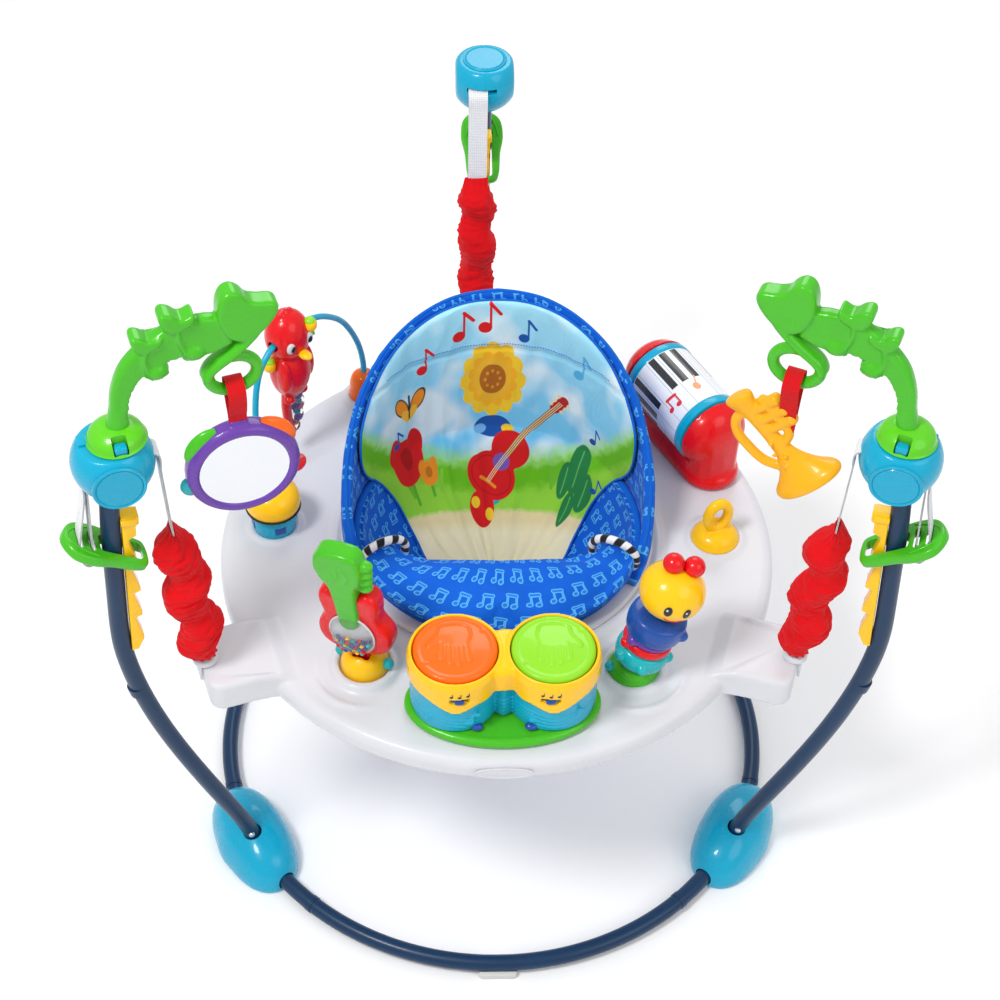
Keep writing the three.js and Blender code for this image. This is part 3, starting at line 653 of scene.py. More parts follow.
CLEAR = clear("clear", "clear_plastic")
MIRROR = bare_metal("mirror", "mirror_film", (0.80, 0.82, 0.85), 0.02, 0.96)
STEEL = bare_metal("steel", "spring_steel", (0.62, 0.63, 0.66), 0.22)
RED_CLOTH = cloth("red_cloth", "red_fabric", (0.70, 0.004, 0.008), sheen=0.06)
WEBBING = waffle("webbing", "webbing")


# ---------------------------------------------------------------- the steel frame
POST_PATH = [
    (2, 0, 24), (9, 0, 60), (18, 0, 89), (36, 0, 137), (66, 0, 220), (90, 0, 297), (107, 0, 370),
    (116.2, 0, 440), (113.9, 0, 477), (111.5, 0, 515), (109.1, 0, 552), (106.7, 0, 590),
    (104.6, 0, 622), (101, 0, 655), (97, 0, 690),
]
HUB_S, HUB_Z, HUB_R, HUB_FLAT, HUB_TOP = 91.0, 706.0, 39.4, 34.0, 25.0
SLOT_Z = 711.5


def arc_path(start, end, steps):
    """Points on the floor ring's centre line between two angles."""
    turns = (start + (end - start) * i / steps for i in range(steps + 1))
    return [Vector((*polar(RING_R, a), RING_Z)) for a in turns]


def floor_tubes():
    """The three lengths of the ring between the feet, each with a sleeve near either end."""
    arcs = {"front": (211.5, 328.5), "right": (-31.5, 91.6), "left": (91.6, 211.5)}
    for side, (start, end) in arcs.items():
        sleeves = [sweep(arc_path(a, a + 1.2, 4), TUBE_R + 0.7, 32) for a in (start + 17, end - 18.2)]
        tube = sweep(arc_path(start + 6, end - 6, 80), TUBE_R, 32)
        piece(f"floor_tube_{side}", [tube, *sleeves], NAVY, "frame", ROW, [f"base_tube_{side}"])


def floor_pad():
    """A soft grey pad under the front tube, hollowed to fit it."""
    matrix = ROW @ shift(0, -RING_R) @ turned("Z", -90)
    hollow = sweep([(0, -40, RING_Z), (0, 40, RING_Z)], TUBE_R + 0.3, 40)
    cut_piece("floor_pad_grip", [block(-14, 14, -22, 22, 0, 9.5, 5)], [hollow], RUBBER, "frame", matrix,
              ["floor_pad"])


def foot(side):
    """A low egg-shaped dome with a soft ridge, bored for the floor tubes and the post."""
    heights = rounded([(0.93, 0), (0.985, 2), (1.0, 8), (0.975, 18), (0.90, 29), (0.77, 39.5),
                       (0.57, 48), (0.32, 54), (0.0, 55.8)], 4)

    def point(u, v):
        scale, z = heights[round(v * (len(heights) - 1))]
        x, y = polar(1, 360 * u)
        ridge = 1 + 0.05 * math.exp(-((y * y) / 0.03)) * (1 if x > 0 else 0)
        power = 2 / 2.25
        x = squared(x, power) * 42 * scale * ridge
        y = squared(y, power) * 76 * scale
        return Vector((x, y, z))
    dome = grid(point, 96, len(heights) - 1, wrap=True, cap=True)
    forward = {"left": -3, "right": 3, "rear": 0}[side]
    ring_angle = LEG_AT[side] + forward
    to_row = shift(*polar(RING_R, ring_angle)) @ turned("Z", ring_angle)
    obj = new_object(f"foot_dome_{side}", [moved(dome, to_row)])
    gap = TUBE_R + 1.4
    carve(obj, [
        sweep(arc_path(ring_angle + 8, ring_angle + 18, 12), gap, 32),
        sweep(arc_path(ring_angle - 18, ring_angle - 8, 12), gap, 32),
        moved(sweep(spline(POST_PATH[:4], 6), gap, 32), leg_in_row(side)),
    ])
    obj.data.transform(ROW)
    finish_piece(obj, CYAN, "frame", [f"foot_{side}"], sharp=35)


def relaxed(path, rounds):
    """The path with its bends evened out; the ends stay."""
    for _ in range(rounds):
        inner = [(a + b * 2 + c) / 4 for a, b, c in zip(path, path[1:], path[2:])]
        path = [path[0], *inner, path[-1]]
    return path


def post(side):
    """A bent post with its joint sleeve, and the snap button that locks it into its foot."""
    matrix = LEG[side]
    path = relaxed(spline(POST_PATH, 8), 60)
    sleeve = sweep([(105.7, 0, 364), (107, 0, 370), (107.9, 0, 376)], TUBE_R + 0.7, 32)
    piece(f"post_tube_{side}", [sweep(path, TUBE_R, 32), sleeve], NAVY, "frame", matrix, [f"post_{side}"])
    outer = -1 if side == "right" else 1
    button = moved(revolve(rounded([(0, -1), (3.4, -1), (3.4, 1.4), (2.2, 2.8), (0, 3.0)], 4), 24),
                   shift(10, outer * TUBE_R, 62) @ turned("X", -90 * outer))
    piece(f"snap_button_{side}", [button], STEEL, "frame", matrix)


def soft_limit(value, limit, round_over=3.0):
    """value held below limit, with a rounded corner."""
    start = limit - round_over
    if value <= start:
        return value
    return start + round_over * math.tanh((value - start) / round_over)


def hub(side):
    """A ball with two flat faces and a flat top, split by a seam groove."""
    def point(u, v):
        lift = latitude(v)
        x, z = polar(HUB_R * math.cos(lift), 360 * u)
        y = HUB_R * math.sin(lift)
        y = math.copysign(soft_limit(abs(y), HUB_FLAT), y)
        z = soft_limit(z, HUB_TOP, 2.5)
        groove = 1 - 0.012 * math.exp(-(y / 0.9) ** 2)
        return Vector((HUB_S + x * groove, y, HUB_Z + z * groove))
    shell = grid(point, 96, 84, wrap=True, cap=True)
    matrix = LEG[side]
    far = 21.5 if side == "rear" else 12.5
    across = block(HUB_S - 45, HUB_S + 34.5, -12.5, far, SLOT_Z - 2.8, SLOT_Z + 2.8, 1)
    down = block(HUB_S + 27.5, HUB_S + 34.5, -12.5, 12.5, HUB_Z - 60, SLOT_Z + 2.8, 1)
    cut_piece(f"hub_shell_{side}", [shell], [across, down], CYAN, "frame", matrix, [f"hub_{side}"])
    face = {"left": 1, "right": -1, "rear": 1}[side]
    disc = [(0, -1), (25.4, -1), (25.4, 0.9), (24.4, 1.8), (22.6, 1.5), (21.8, 0.6), (21, 1.6), (0, 2.2)]
    where = shift(HUB_S + 1, face * HUB_FLAT, HUB_Z - 5) @ turned("X", -90 * face)
    replaced = [f"hub_cover_{side}"] if side != "rear" else []
    if side == "rear":
        where = shift(HUB_S, 0, HUB_Z + HUB_TOP)
    piece(f"hub_disc_{side}", [moved(revolve(disc, 64), where)], CYAN, "frame", matrix, replaced)
    nub = block(-5, 5, -7, 7, 0, 7, 2)
    if side != "rear":
        piece(f"hub_nub_{side}", [moved(nub, shift(HUB_S + 24, -face * 6, HUB_Z + HUB_TOP - 4))], CYAN,
              "frame", matrix)


# ---------------------------------------------------------------- height adjusters and webbing
SLIDER = shift(106.9, 0, 587) @ turned("Y", -3.6)
WEB_WIDE, WEB_THICK = 22, 1.6


def rack(side):
    """A rail with four sloping teeth and a lip at its top, which the adjuster climbs."""
    back, front = -TUBE_R - 0.6, -23.5
    outline = [(back, -146), (back, 46), (-27, 46), (-27, 36), (front, 33), (front, 20), (-16, 16)]
    for i in range(4):
        top = 10 - i * 36
        outline += [(-16, top), (front, top - 28), (front, top - 33)]
    outline.append((-17, -146))
    rail = upright([Vector(p) for p in outline], 7.5, 0.8)
    lip = upright(rectangle(-25, back + 1, 37, 45, 1.5), 9.5, 1)
    piece(f"rack_rail_{side}", [rail, lip], YELLOW, "frame", LEG[side] @ SLIDER, [f"rack_{side}"], sharp=30)


def adjuster(side):
    """A leaf-shaped handle whose band wraps the post, with two slots for the webbing."""
    leaf = spline([(-36, -12, 0), (-26, -19, 0), (0, -21.5, 0), (22, -25.5, 0), (44, -21, 0), (54.5, 0, 0),
                   (44, 21, 0), (22, 25.5, 0), (0, 21.5, 0), (-26, 19, 0), (-36, 12, 0)], 6, closed=True)
    plate = slab([p.xy for p in leaf], -5.5, 5.5, 3.2, 5)
    tilt = turned("Y", -31)
    tip_turns = (polar(0.86, a) for a in range(-70, 71, 10))
    rim = sweep([tilt @ Vector((54.5 * c + 4, 24 * s, 5.2)) for c, s in tip_turns], 1.3, 10)
    reach = TUBE_R + 1.6
    passage = block(-28.5, reach, -reach, reach, -60, 60, 4)
    slots = [block(s - 2.6, s + 2.6, -13, 13, -60, 60, 2) for s in (18.5, 30)]
    cut_piece(f"adjuster_leaf_{side}", [moved(plate, tilt), rim], [passage, *slots], GREEN,
              f"adjuster_{side}", LEG[side] @ SLIDER, [f"adjuster_{side}"], sharp=50)


def webbing(side):
    """The white strap: over the hub and down to the spring on one side, to the adjuster on the other."""
    inner = [(HUB_S - 0.5, SLOT_Z), (HUB_S - 30, SLOT_Z), (HUB_S - 39, SLOT_Z - 1.5),
             (HUB_S - 42.2, SLOT_Z - 7), (HUB_S - 42, HUB_Z - 12), (HUB_S - 41.4, HUB_Z - 24), (47, 588)]
    obj = new_object(f"web_inner_{side}", [ribbon(inner, WEB_WIDE, WEB_THICK)], STRAP[side])
    finish_piece(obj, WEBBING, None, [f"strap_inner_{side}"], sharp=60)
    STRAP[side] @ Vector((HUB_S, 0, SLOT_Z - 10))
    STRAP[side] @ Vector((HUB_S, 0, 596))
    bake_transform(obj)
    outer = [(HUB_S + 0.5, SLOT_Z), (HUB_S + 26, SLOT_Z), (HUB_S + 32, SLOT_Z - 4),
             (HUB_S + 33.2, SLOT_Z - 14), (HUB_S + 33.2, 672), (136.6, 612), (137, 592),
             (133.5, 583.5), (130, 582), (126.5, 583.5), (125, 590), (125, 604),
             (HUB_S + 29.6, 672), (HUB_S + 29.6, 697)]
    obj = new_object(f"web_outer_{side}", [ribbon(outer, WEB_WIDE, WEB_THICK)], LEG[side])
    finish_piece(obj, WEBBING, None, [f"strap_outer_{side}"], sharp=60)
    LEG[side] @ Vector((HUB_S, 0, 690))
    LEG[side] @ Vector((HUB_S, 0, 610))
    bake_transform(obj)


# ---------------------------------------------------------------- spring covers
COVER_TOP, COVER_FOOT = Vector((47, 0, 597)), Vector((33, 0, 402))
CLOTH_THICK = 0.9
# (share of the height, radius) of the cover from its foot up
PUFFS = [
    (0.0, 13), (0.05, 16), (0.14, 21), (0.25, 22), (0.33, 18), (0.38, 17.5), (0.47, 21.5),
    (0.59, 23), (0.67, 18), (0.72, 18), (0.8, 23), (0.87, 21), (0.94, 15), (1.0, 12),
]
SPRING_CLEAR, PUFF_MOST = 12.2, 26.0


def spring_cover(side):
    """A red fabric sleeve crumpled into puffs over the spring and gathered narrow at its top."""
    seed = {"left": 1.0, "right": 4.7, "rear": 9.3}[side]
    smooth = [(p.x, p.y) for p in spline([(v, r, 0) for v, r in PUFFS], 8)]

    def point(u, v):
        c, s = polar(1, 360 * u)
        here = COVER_FOOT.lerp(COVER_TOP, v)
        around = math.radians(360 * u)
        tilt = v + 0.035 * math.sin(around + seed) + 0.02 * math.sin(2 * around + 2 * seed)
        puff = lookup(smooth, max(0.0, min(tilt, 1.0)))
        wide = noise.noise(Vector((c * 1.2 + seed, s * 1.2, v * 7)))
        creases = 1 - 2 * abs(noise.noise(Vector((c * 0.9 + seed, s * 0.9 + 3, v * 24 + 0.9 * c))))
        fine = noise.noise(Vector((c * 2.6, s * 2.6 + seed, v * 55)))
        calm = min(1.0, (1 - v) / 0.1) * min(1.0, v / 0.06)
        r = puff + (2.6 * wide + 2.3 * (creases - 0.5) + 0.8 * fine) * calm
        r += (1 - calm) * 1.3 * math.sin(math.radians(360 * u) * 11 + seed)
        sway = 4.6 * math.sin(15 * v + seed) * calm
        r = min(r, PUFF_MOST)
        if v < 0.87:
            r = max(r, SPRING_CLEAR + abs(sway))
        pinch = 1 - 0.8 * max(0.0, (v - 0.88) / 0.12)
        return here + Vector((r * c * pinch + sway, r * s, 2.2 * wide * calm))
    obj = new_object(f"sleeve_{side}", [grid(point, 96, 190, wrap=True)], STRAP[side])
    thicken = obj.modifiers.new("thickness", "SOLIDIFY")
    thicken.thickness = CLOTH_THICK * MM
    thicken.offset = -1
    bake_modifiers(obj)
    finish_piece(obj, RED_CLOTH, None, [f"spring_cover_{side}"], sharp=0)
    STRAP[side] @ Vector((40, 0, 575))
    STRAP[side] @ Vector((40, 0, 415))
    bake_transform(obj)


def spring_fittings(side):
    """The white anchor with its pronged tab under the cover, and the CAD spring's steel."""
    anchor = moved(revolve(rounded([(AXIS, -2), (12, -2), (12.5, 2), (10, 4.6), (AXIS, 5)], 3), 40),
                   shift(33, 0, 391))
    tab = [block(31, 42, -9.5, 9.5, 388.4, 392, 1.5)]
    tab += [block(38.8, 42, y - 1.7, y + 1.7, 366, 391, 1) for y in (-7, 0, 7)]
    piece(f"sleeve_anchor_{side}", [anchor, *tab], WHITE, "tray", STRAP[side])
    spring = bpy.data.objects[f"spring_{side}"].data
    spring.materials.clear()
    spring.materials.append(STEEL)


floor_tubes()
floor_pad()
for side in SIDES:
    foot(side)
    post(side)
    hub(side)
    rack(side)
    adjuster(side)
    webbing(side)
    spring_cover(side)
    spring_fittings(side)


# ---------------------------------------------------------------- toy arms
ARM_SPINE = [(79, 752), (78, 768), (74, 788), (64, 808), (50, 821), (32, 831), (12, 836), (-10, 834),
             (-30, 836)]
ARM_WIDTH = [17, 17, 18, 22, 27, 33, 38, 42, 30]
RING_S, RING_MID = -29.0, 781.5


def leaf(scale):
    """The outline of a note's curled flag."""
    outline = spline([(12, 3, 0), (6, -9, 0), (-6, -8, 0), (-14, -3, 0), (-14, 4, 0), (-5, 1, 0), (2, 7, 0),
                      (9, 9, 0)], 5, closed=True)
    return [p.xy * scale for p in outline]


def arm_note(head, head_r, flag, scale):
    """A plump eighth note: head on the inner edge, stem across, flag past the outer edge."""
    hs, hz = head
    fs, fz = flag
    return [
        ball((hs, 0, hz), (head_r, 12.0, head_r * 0.82)),
        sweep(spline([(hs + head_r * 0.6, 0, hz + 2), (hs + (fs - hs) * 0.5 + 6, 0, (hz + fz) / 2),
                      (fs - 3, 0, fz)], 6), 4.3, 16, flat=2.5),
        moved(upright(leaf(scale), 11, 3.5), shift(fs, 0, fz)),
    ]


def toy_arm(side):
    """A green arm shaped like a row of notes, with a ring at its end for a hanging toy."""
    arch = upright(band(ARM_SPINE, ARM_WIDTH), 7.5, 4.5)
    flag = spline([(-20, 848, 0), (-20.5, 866, 0), (-26, 878, 0), (-35, 881, 0), (-43, 876, 0),
                   (-49, 867.5, 0), (-59, 863, 0), (-70, 861, 0), (-75.5, 855, 0), (-71, 843, 0),
                   (-58, 829, 0), (-42, 822, 0), (-28, 829, 0)], 5, closed=True)
    big_flag = upright([p.xy for p in flag], 11, 4)
    stem_path = spline([(-64, 0, 846), (-50, 0, 826), (-30, 0, 808), (-10, 0, 794), (-4, 0, 783)], 6)
    stem = sweep(stem_path, 6.3, 20, flat=1.75)
    tilt = turned("Y", 10)
    loop = sweep([shift(RING_S, 0, RING_MID) @ tilt @ Vector((23 * c, 0, 19.6 * s))
                  for c, s in (polar(1, a) for a in range(0, 360, 6))], 6.0, 20, closed=True)
    neck = sweep([(82, 0, 742), (80, 0, 756), (78.5, 0, 768)], [12, 10, 8.8], 24, flat=0.95)
    notes = arm_note((40, 806), 12.5, (47, 842), 1.05) + arm_note((4, 820), 13.5, (18, 860), 1.2)
    moulded(f"arm_{side}", [arch, big_flag, stem, loop, neck, *notes], GREEN, "frame", ARM[side],
            [f"toy_arm_{side}"], voxel=1.3, relax=8)
    arm_collar(side)


def arm_collar(side):
    """The lens-shaped collar on the hub that the arm stands in, with its latch."""
    lens_profile = rounded([(0, 731.6), (26.5, 731.6), (27.0, 735), (24.5, 741.5), (17, 747.5), (9, 750),
                            (0, 750.5)], 5)
    facing = 1 if side == "left" else -1
    notch = block(PEG_S - 7, PEG_S + 7, facing * 21 - 6, facing * 21 + 6, 728, 760, 1.5)
    cut_piece(f"arm_collar_{side}", [moved(revolve(lens_profile, 72), shift(PEG_S, 0))], [notch], LEAF,
              "frame", ARM[side])
    latch = block(PEG_S - 6, PEG_S + 6, facing * 21 - 5, facing * 21 + 5, 729, 741, 2.5)
    piece(f"arm_latch_{side}", [latch], CYAN, "frame", ARM[side])


toy_arm("left")
toy_arm("right")


# ---------------------------------------------------------------- tray
TRAY_R, TRAY_FOOT, HOLE_R = 312.0, 352.0, 165.0
ARM_TOP = 388.0
GUITAR_AT, BUG_AT, LOOP_AT = (-145.0, -182.0), (140.0, -188.0), (247.0, 0.0)
ARCH_AT, ARCH_YAW = (-268.0, 84.0), 54.0


def tray_arm_outline(end, half, radius, start=-78):
    """An arm that widens towards the tray; end, half and radius are its tip, half width and corners."""
    lower = spline([(start, -half - 16, 0), (-45, -half - 4, 0), (-12, -half, 0)], 5)
    corners = [Vector((end - radius, way * (half - radius))) + Vector(polar(radius, a))
               for way, first in ((-1, -90), (1, 0)) for a in range(first, first + 91, 15)]
    return [p.xy for p in lower] + corners + [Vector((p.x, -p.y)) for p in reversed(lower)]


def boss(at, inner, outer, rise):
    """A low raised ring moulded into the tray round a toy's foot."""
    top = TRAY_TOP + rise
    loop = [(inner, TRAY_TOP - 3), (inner, top - 1), (inner + 1, top), (outer - 4, top),
            (outer, top - rise * 0.6), (outer + 3, TRAY_TOP - 3)]
    return moved(ring_solid(loop, 64), shift(*at))


def sloped(p):
    """An arm's point, lowered towards the tray's middle so that the arm's top runs into the tray."""
    reach = min(max((-14 - p.x) / 60, 0.0), 1.0)
    drop = 15.0 * reach * reach * (3 - 2 * reach)
    return Vector((p.x, p.y, p.z - drop * min(max((p.z - 356) / 28, 0.0), 1.0)))


def tray_arms():
    """The three hollow arms that reach out under the spring covers."""
    shapes = []
    for side in SIDES:
        shell = new_object("arm_block", [slab(tray_arm_outline(38, 42, 15), 348, ARM_TOP, 5, 5)])
        carve(shell, [slab(tray_arm_outline(34, 38, 11, -70), 300, ARM_TOP - 4.2, 1)])
        mesh = shell.data
        place = leg_in_row(side)
        verts = [place @ sloped(v.co) for v in mesh.vertices]
        faces = [tuple(p.vertices) for p in mesh.polygons]
        shapes.append((verts, faces, [tuple((0, 0) for _ in f) for f in faces]))
        bpy.data.objects.remove(shell)
    return shapes


def tray():
    """The round tray with its rolled rim, its arms and the raised rings round the toys."""
    top, foot, r = TRAY_TOP, TRAY_FOOT, TRAY_R
    skin = [(HOLE_R, top - 4), (HOLE_R, top), (300, top), (306, top - 1.2), (310, top - 4.5),
            (r, top - 9.5), (r, foot + 3), (r + 0.6, foot), (r - 4.2, foot), (r - 4.2, top - 11),
            (r - 9, top - 5), (r - 14, top - 4)]
    shapes = [ring_solid(skin, 180), *tray_arms()]
    arch_to_row = shift(*ARCH_AT) @ turned("Z", ARCH_YAW)
    heel, far = arch_to_row @ Vector((0, 0, 0)), arch_to_row @ Vector((190, 0, 0))
    shapes += [
        boss((0, SEAT_Y), 179, 190, 3.5),
        boss(GUITAR_AT, 27.5, 38, 7),
        boss(BUG_AT, 27.5, 36, 3.5),
        boss(LOOP_AT, 27.5, 34, 2.5),
        boss(SPINNER, 24.5, 31, 3),
        boss(heel.xy, 13.5, 19, 2.5),
        boss(far.xy, 18.5, 25, 3),
    ]
    for (x, y), start, end in ((GUITAR_AT, 165, 300), (BUG_AT, 235, 370)):
        arc = [Vector((x, y, TRAY_TOP - 1.5)) + Vector((*polar(56, a), 0)) for a in range(start, end, 5)]
        ends = [4.2 * math.sin(math.pi * (i + 0.6) / (len(arc) + 0.2)) ** 0.5 for i in range(len(arc))]
        shapes.append(sweep(arc, ends, 16))
    moulded("tray_skin", shapes, WHITE, "tray", ROW, ["tray"], voxel=2.1, relax=6)
    blank_plate()


def blank_plate():
    """A plain raised oval on the front of the rim."""
    plate = [Vector((x * 30, y * 7.5)) for x, y in (polar(1, a) for a in range(0, 360, 8))]
    facing = shift(0, -TRAY_R - 0.4, 362) @ turned("X", 90)
    rim = sweep([Vector((p.x, p.y, 0.8)) for p in plate], 0.8, 10, closed=True)
    piece("blank_plate", [moved(slab(plate, -1, 1, 0.6), facing), moved(rim, facing)], WHITE, "tray")


tray()


# ---------------------------------------------------------------- printed patterns
NOTE_CELL = 25.0
RED_INK, YELLOW_INK, ORANGE_INK = (0.72, 0.012, 0.014), (0.98, 0.62, 0.03), (0.94, 0.30, 0.02)
DEEP_INK, DARK_LEAF = (0.012, 0.09, 0.40), (0.02, 0.22, 0.06)


def note_pattern(tree, u, v, base):
    """Light blue outlined pairs of beamed notes, one to each cell, every other row moved by half."""
    cell = NOTE_CELL
    row = (v / cell).floor()
    x = ((u / cell + row * 0.5).fract() - 0.5) * cell
    y = ((v / cell).fract() - 0.5) * cell
    x = x - y * 0.12
    heads = ellipse(x, y, -5.6, -5.2, 3.1, 2.4).min(ellipse(x, y, 3.6, -6.8, 3.1, 2.4))
    stems = segment(x, y, -3.4, -5, -3.4, 5.4, 0.7).min(segment(x, y, 5.9, -6.4, 5.9, 4.0, 0.7))
    beam = segment(x, y, -3.4, 5.0, 5.9, 3.6, 1.6)
    shape = heads.min(stems).min(beam)
    outline = inside(shape.abs() - 0.55, 0.5)
    filled = inside(shape, 0.5)
    tint = mix(tree, filled * 0.35, base, (0.05, 0.30, 0.78))
    return mix(tree, outline, tint, (0.10, 0.46, 0.86))


class Print:
    """A picture painted shape by shape over a cloth's UV position in millimetres."""

    def __init__(self, tree, u, v):
        self.tree, self.u, self.v, self.picture = tree, u, v, None

    def paint(self, shape, colour, soft=0.9):
        self.picture = mix(self.tree, inside(shape, soft), self.picture, colour)

    def oval(self, x, y, rx, ry, colour):
        self.paint(ellipse(self.u, self.v, x, y, rx, ry), colour)

    def line(self, ax, ay, bx, by, r, colour):
        self.paint(segment(self.u, self.v, ax, ay, bx, by, r), colour)


def sky_and_hills(tree, u, v):
    """Blue sky with clouds over green hills and a sand path."""
    where, _ = coordinates(tree, "UV")
    drift = noise_value(tree, where, 0.011, 2)
    grass = noise_value(tree, where, 0.09, 4)
    picture = mix(tree, ((v + 40) / 260).clamp(), (0.13, 0.56, 0.90), (0.42, 0.80, 0.95))
    picture = mix(tree, ((drift - 0.46) * 7).clamp() * 0.85, picture, (0.86, 0.95, 0.99))
    hill = v + 50 - u * u * 0.0033 + (grass - 0.5) * 22
    picture = mix(tree, inside(hill - 16, 24.0), picture, (0.36, 0.76, 0.20))
    picture = mix(tree, inside(hill, 14.0), picture, (0.15, 0.53, 0.012))
    picture = mix(tree, inside(hill + 32, 16.0), picture, (0.30, 0.68, 0.05))
    sand = v + 106 - u * u * 0.0013 + (grass - 0.5) * 12
    picture = mix(tree, inside(sand, 7.0), picture, (0.84, 0.70, 0.38))
    return mix(tree, inside(sand + 20, 16.0), picture, (0.92, 0.82, 0.55))


def grass_tufts(page):
    """Three tufts of three blades."""
    for x, y, tint in ((-128, -58, (0.16, 0.52, 0.03)), (-84, -66, (0.24, 0.62, 0.05)),
                       (88, -62, (0.16, 0.52, 0.03))):
        for k in (-7, 0, 7):
            page.line(x, y, x + k, y + 26, 2.2, tint)


def sunflower(page):
    """Two rings of petals round a brown middle with seeds; tall evens out the cloth's stretch."""
    tall = (page.v - 82) * 0.70
    rings = [(12, 31, 0, 9.5, YELLOW_INK), (12, 24, 15, 6.5, (0.98, 0.46, 0.02)),
             (1, 0, 0, 23, (0.93, 0.50, 0.03)), (1, 0, 0, 16, (0.48, 0.14, 0.015)),
             (8, 9, 0, 1.8, (0.80, 0.34, 0.03))]
    for count, reach, first, r, colour in rings:
        for i in range(count):
            px, py = polar(reach, 360 / count * i + first)
            page.paint(ellipse(page.u, tall, -4 + px, py, r, r), colour)


def balls(page):
    """Dotted balls above and below the guitar."""
    page.oval(-3, 8, 23, 17, DEEP_INK)
    page.oval(-19, 4, 8, 8, (0.18, 0.46, 0.80))
    page.oval(16, 4, 8, 8, YELLOW_INK)
    for x, y, r, colour, dot in ((-3, -79, 19, (0.02, 0.42, 0.46), (0.30, 0.72, 0.80)),
                                 (-22, -103, 22, RED_INK, YELLOW_INK)):
        page.oval(x, y, r, r * 1.1, colour)
        page.oval(x - r * 0.45, y + r * 0.4, r * 0.34, r * 0.34, dot)
        page.oval(x + r * 0.6, y - r * 0.35, r * 0.36, r * 0.36, dot)


def printed_guitar(page):
    """A red guitar drawn along its own leaning axis."""
    lean_s, lean_t = 0.58, 0.815
    along = (page.u - 8) * lean_s + (page.v + 44) * lean_t
    across = (page.u - 8) * lean_t - (page.v + 44) * lean_s
    wood, string, brass = (0.36, 0.09, 0.015), (0.86, 0.74, 0.40), (0.86, 0.72, 0.40)
    lower, upper = ellipse(along, across, -20, 0, 31, 38), ellipse(along, across, 24, 0, 24, 27)
    waist = unit_box(along, across, 4, 0, 16, 21)
    page.paint(lower.min(upper).min(waist), RED_INK)
    page.paint(ellipse(along, across, -20, 0, 24, 31).abs() - 0.6, (0.50, 0.004, 0.008))
    page.paint(segment(along, across, -30, -13, -30, 13, 2.2), ORANGE_INK)
    page.paint(segment(along, across, 10, 0, 116, 0, 4.2), wood)
    page.paint(ellipse(along, across, 3, 0, 12, 12), (0.20, 0.10, 0.42))
    page.paint(segment(along, across, 116, 0, 134, 0, 7.0), (0.50, 0.02, 0.02))
    for k in (-2.4, 0, 2.4):
        page.paint(segment(along, across, -30, k, 128, k, 0.5), string, 0.6)
    for k in (118, 126, 134):
        for way in (-1, 1):
            page.paint(ellipse(along, across, k, way * 8.6, 2.4, 2.8), brass)


def flowers_and_leaves(page):
    """Two poppies on the left and a leafy plant on the right."""
    for x, y, size, colour in ((-124, -8, 1.0, RED_INK), (-96, -38, 0.5, ORANGE_INK)):
        page.line(x, y - 62 * size, x, y, 2.2, (0.10, 0.46, 0.03))
        page.oval(x, y, 25 * size, 34 * size, colour)
        for way in (-1, 1):
            page.oval(x + way * 15 * size, y + 18 * size, 13 * size, 24 * size, colour)
        page.oval(x, y + 4 * size, 9 * size, 16 * size, shade(colour, 0.62))
    for x, y, rx, ry in ((122, -20, 15, 36), (106, -44, 11, 26), (140, -46, 12, 28), (124, -78, 10, 26)):
        page.oval(x, y, rx, ry, DARK_LEAF)
        page.line(x, y - ry * 0.7, x, y + ry * 0.7, 0.9, (0.12, 0.48, 0.12))


def butterfly(page):
    """Two leaning wings, each a dark edge, an orange upper part and a paler lower part."""
    wing = ((10, 76, 10, 17, (0.05, 0.03, 0.02)), (10, 76, 8, 14, ORANGE_INK),
            (8, 60, 7, 10, (0.98, 0.52, 0.05)))
    for way in (-1, 1):
        lean = (page.v - 70) * (0.35 * way)
        for reach, y, rx, ry, colour in wing:
            page.paint(ellipse(page.u - lean, page.v, -113 + way * reach, y, rx, ry), colour)
    page.line(-113, 54, -113, 88, 1.5, (0.03, 0.02, 0.02))


def printed_notes(page):
    """Single notes scattered over the sky: place, colour and size."""
    notes = ((-94, 118, RED_INK, 1.3), (-46, 152, RED_INK, 1.5), (-14, 160, RED_INK, 1.5),
             (32, 146, DEEP_INK, 1.2), (104, 116, (0.10, 0.46, 0.78), 1.3), (-136, 22, DEEP_INK, 0.9),
             (132, 28, DEEP_INK, 0.9), (152, -36, DEEP_INK, 0.8))
    for x, y, colour, size in notes:
        stem_x, stem_top = x + 4.4 * size, y + 22 * size
        page.oval(x, y, 5.4 * size, 5.2 * size, colour)
        page.line(stem_x, y, stem_x, stem_top, 1.0 * size, colour)
        page.line(stem_x, stem_top, x + 12 * size, y + 13 * size, 1.5 * size, colour)


def meadow(tree, u, v, _base):
    """A plain meadow print; its ink covers the whole cloth, so the dyed base doesn't show."""
    page = Print(tree, u, v)
    page.picture = sky_and_hills(tree, u, v)
    for motif in (grass_tufts, sunflower, balls, printed_guitar, flowers_and_leaves, butterfly,
                  printed_notes):
        motif(page)
    return page.picture


def zebra(tree, u, v, _base):
    """Slanting black and white stripes that cover the whole cloth."""
    stripe = ((v + u * 9.0) / 18.0).fract()
    return mix(tree, inside((stripe - 0.5).abs() - 0.25, 0.05), (0.86, 0.87, 0.88), (0.012, 0.014, 0.02))


NOTE_CLOTH = cloth("note_cloth", "blue_fabric", (0.002, 0.115, 0.66), sheen=0.08, paint=note_pattern)
PRINT_CLOTH = cloth("print_cloth", "print_fabric", (0.5, 0.8, 0.9), pitch=0.0009, creases=0.0008,
                    sheen=0.04, paint=meadow)
ZEBRA = cloth("zebra_piping", "webbing", (0.8, 0.8, 0.8), pitch=0.0008, paint=zebra)
PIPING = cloth("blue_piping", "blue_fabric", (0.003, 0.13, 0.62), pitch=0.0008, sheen=0.08)

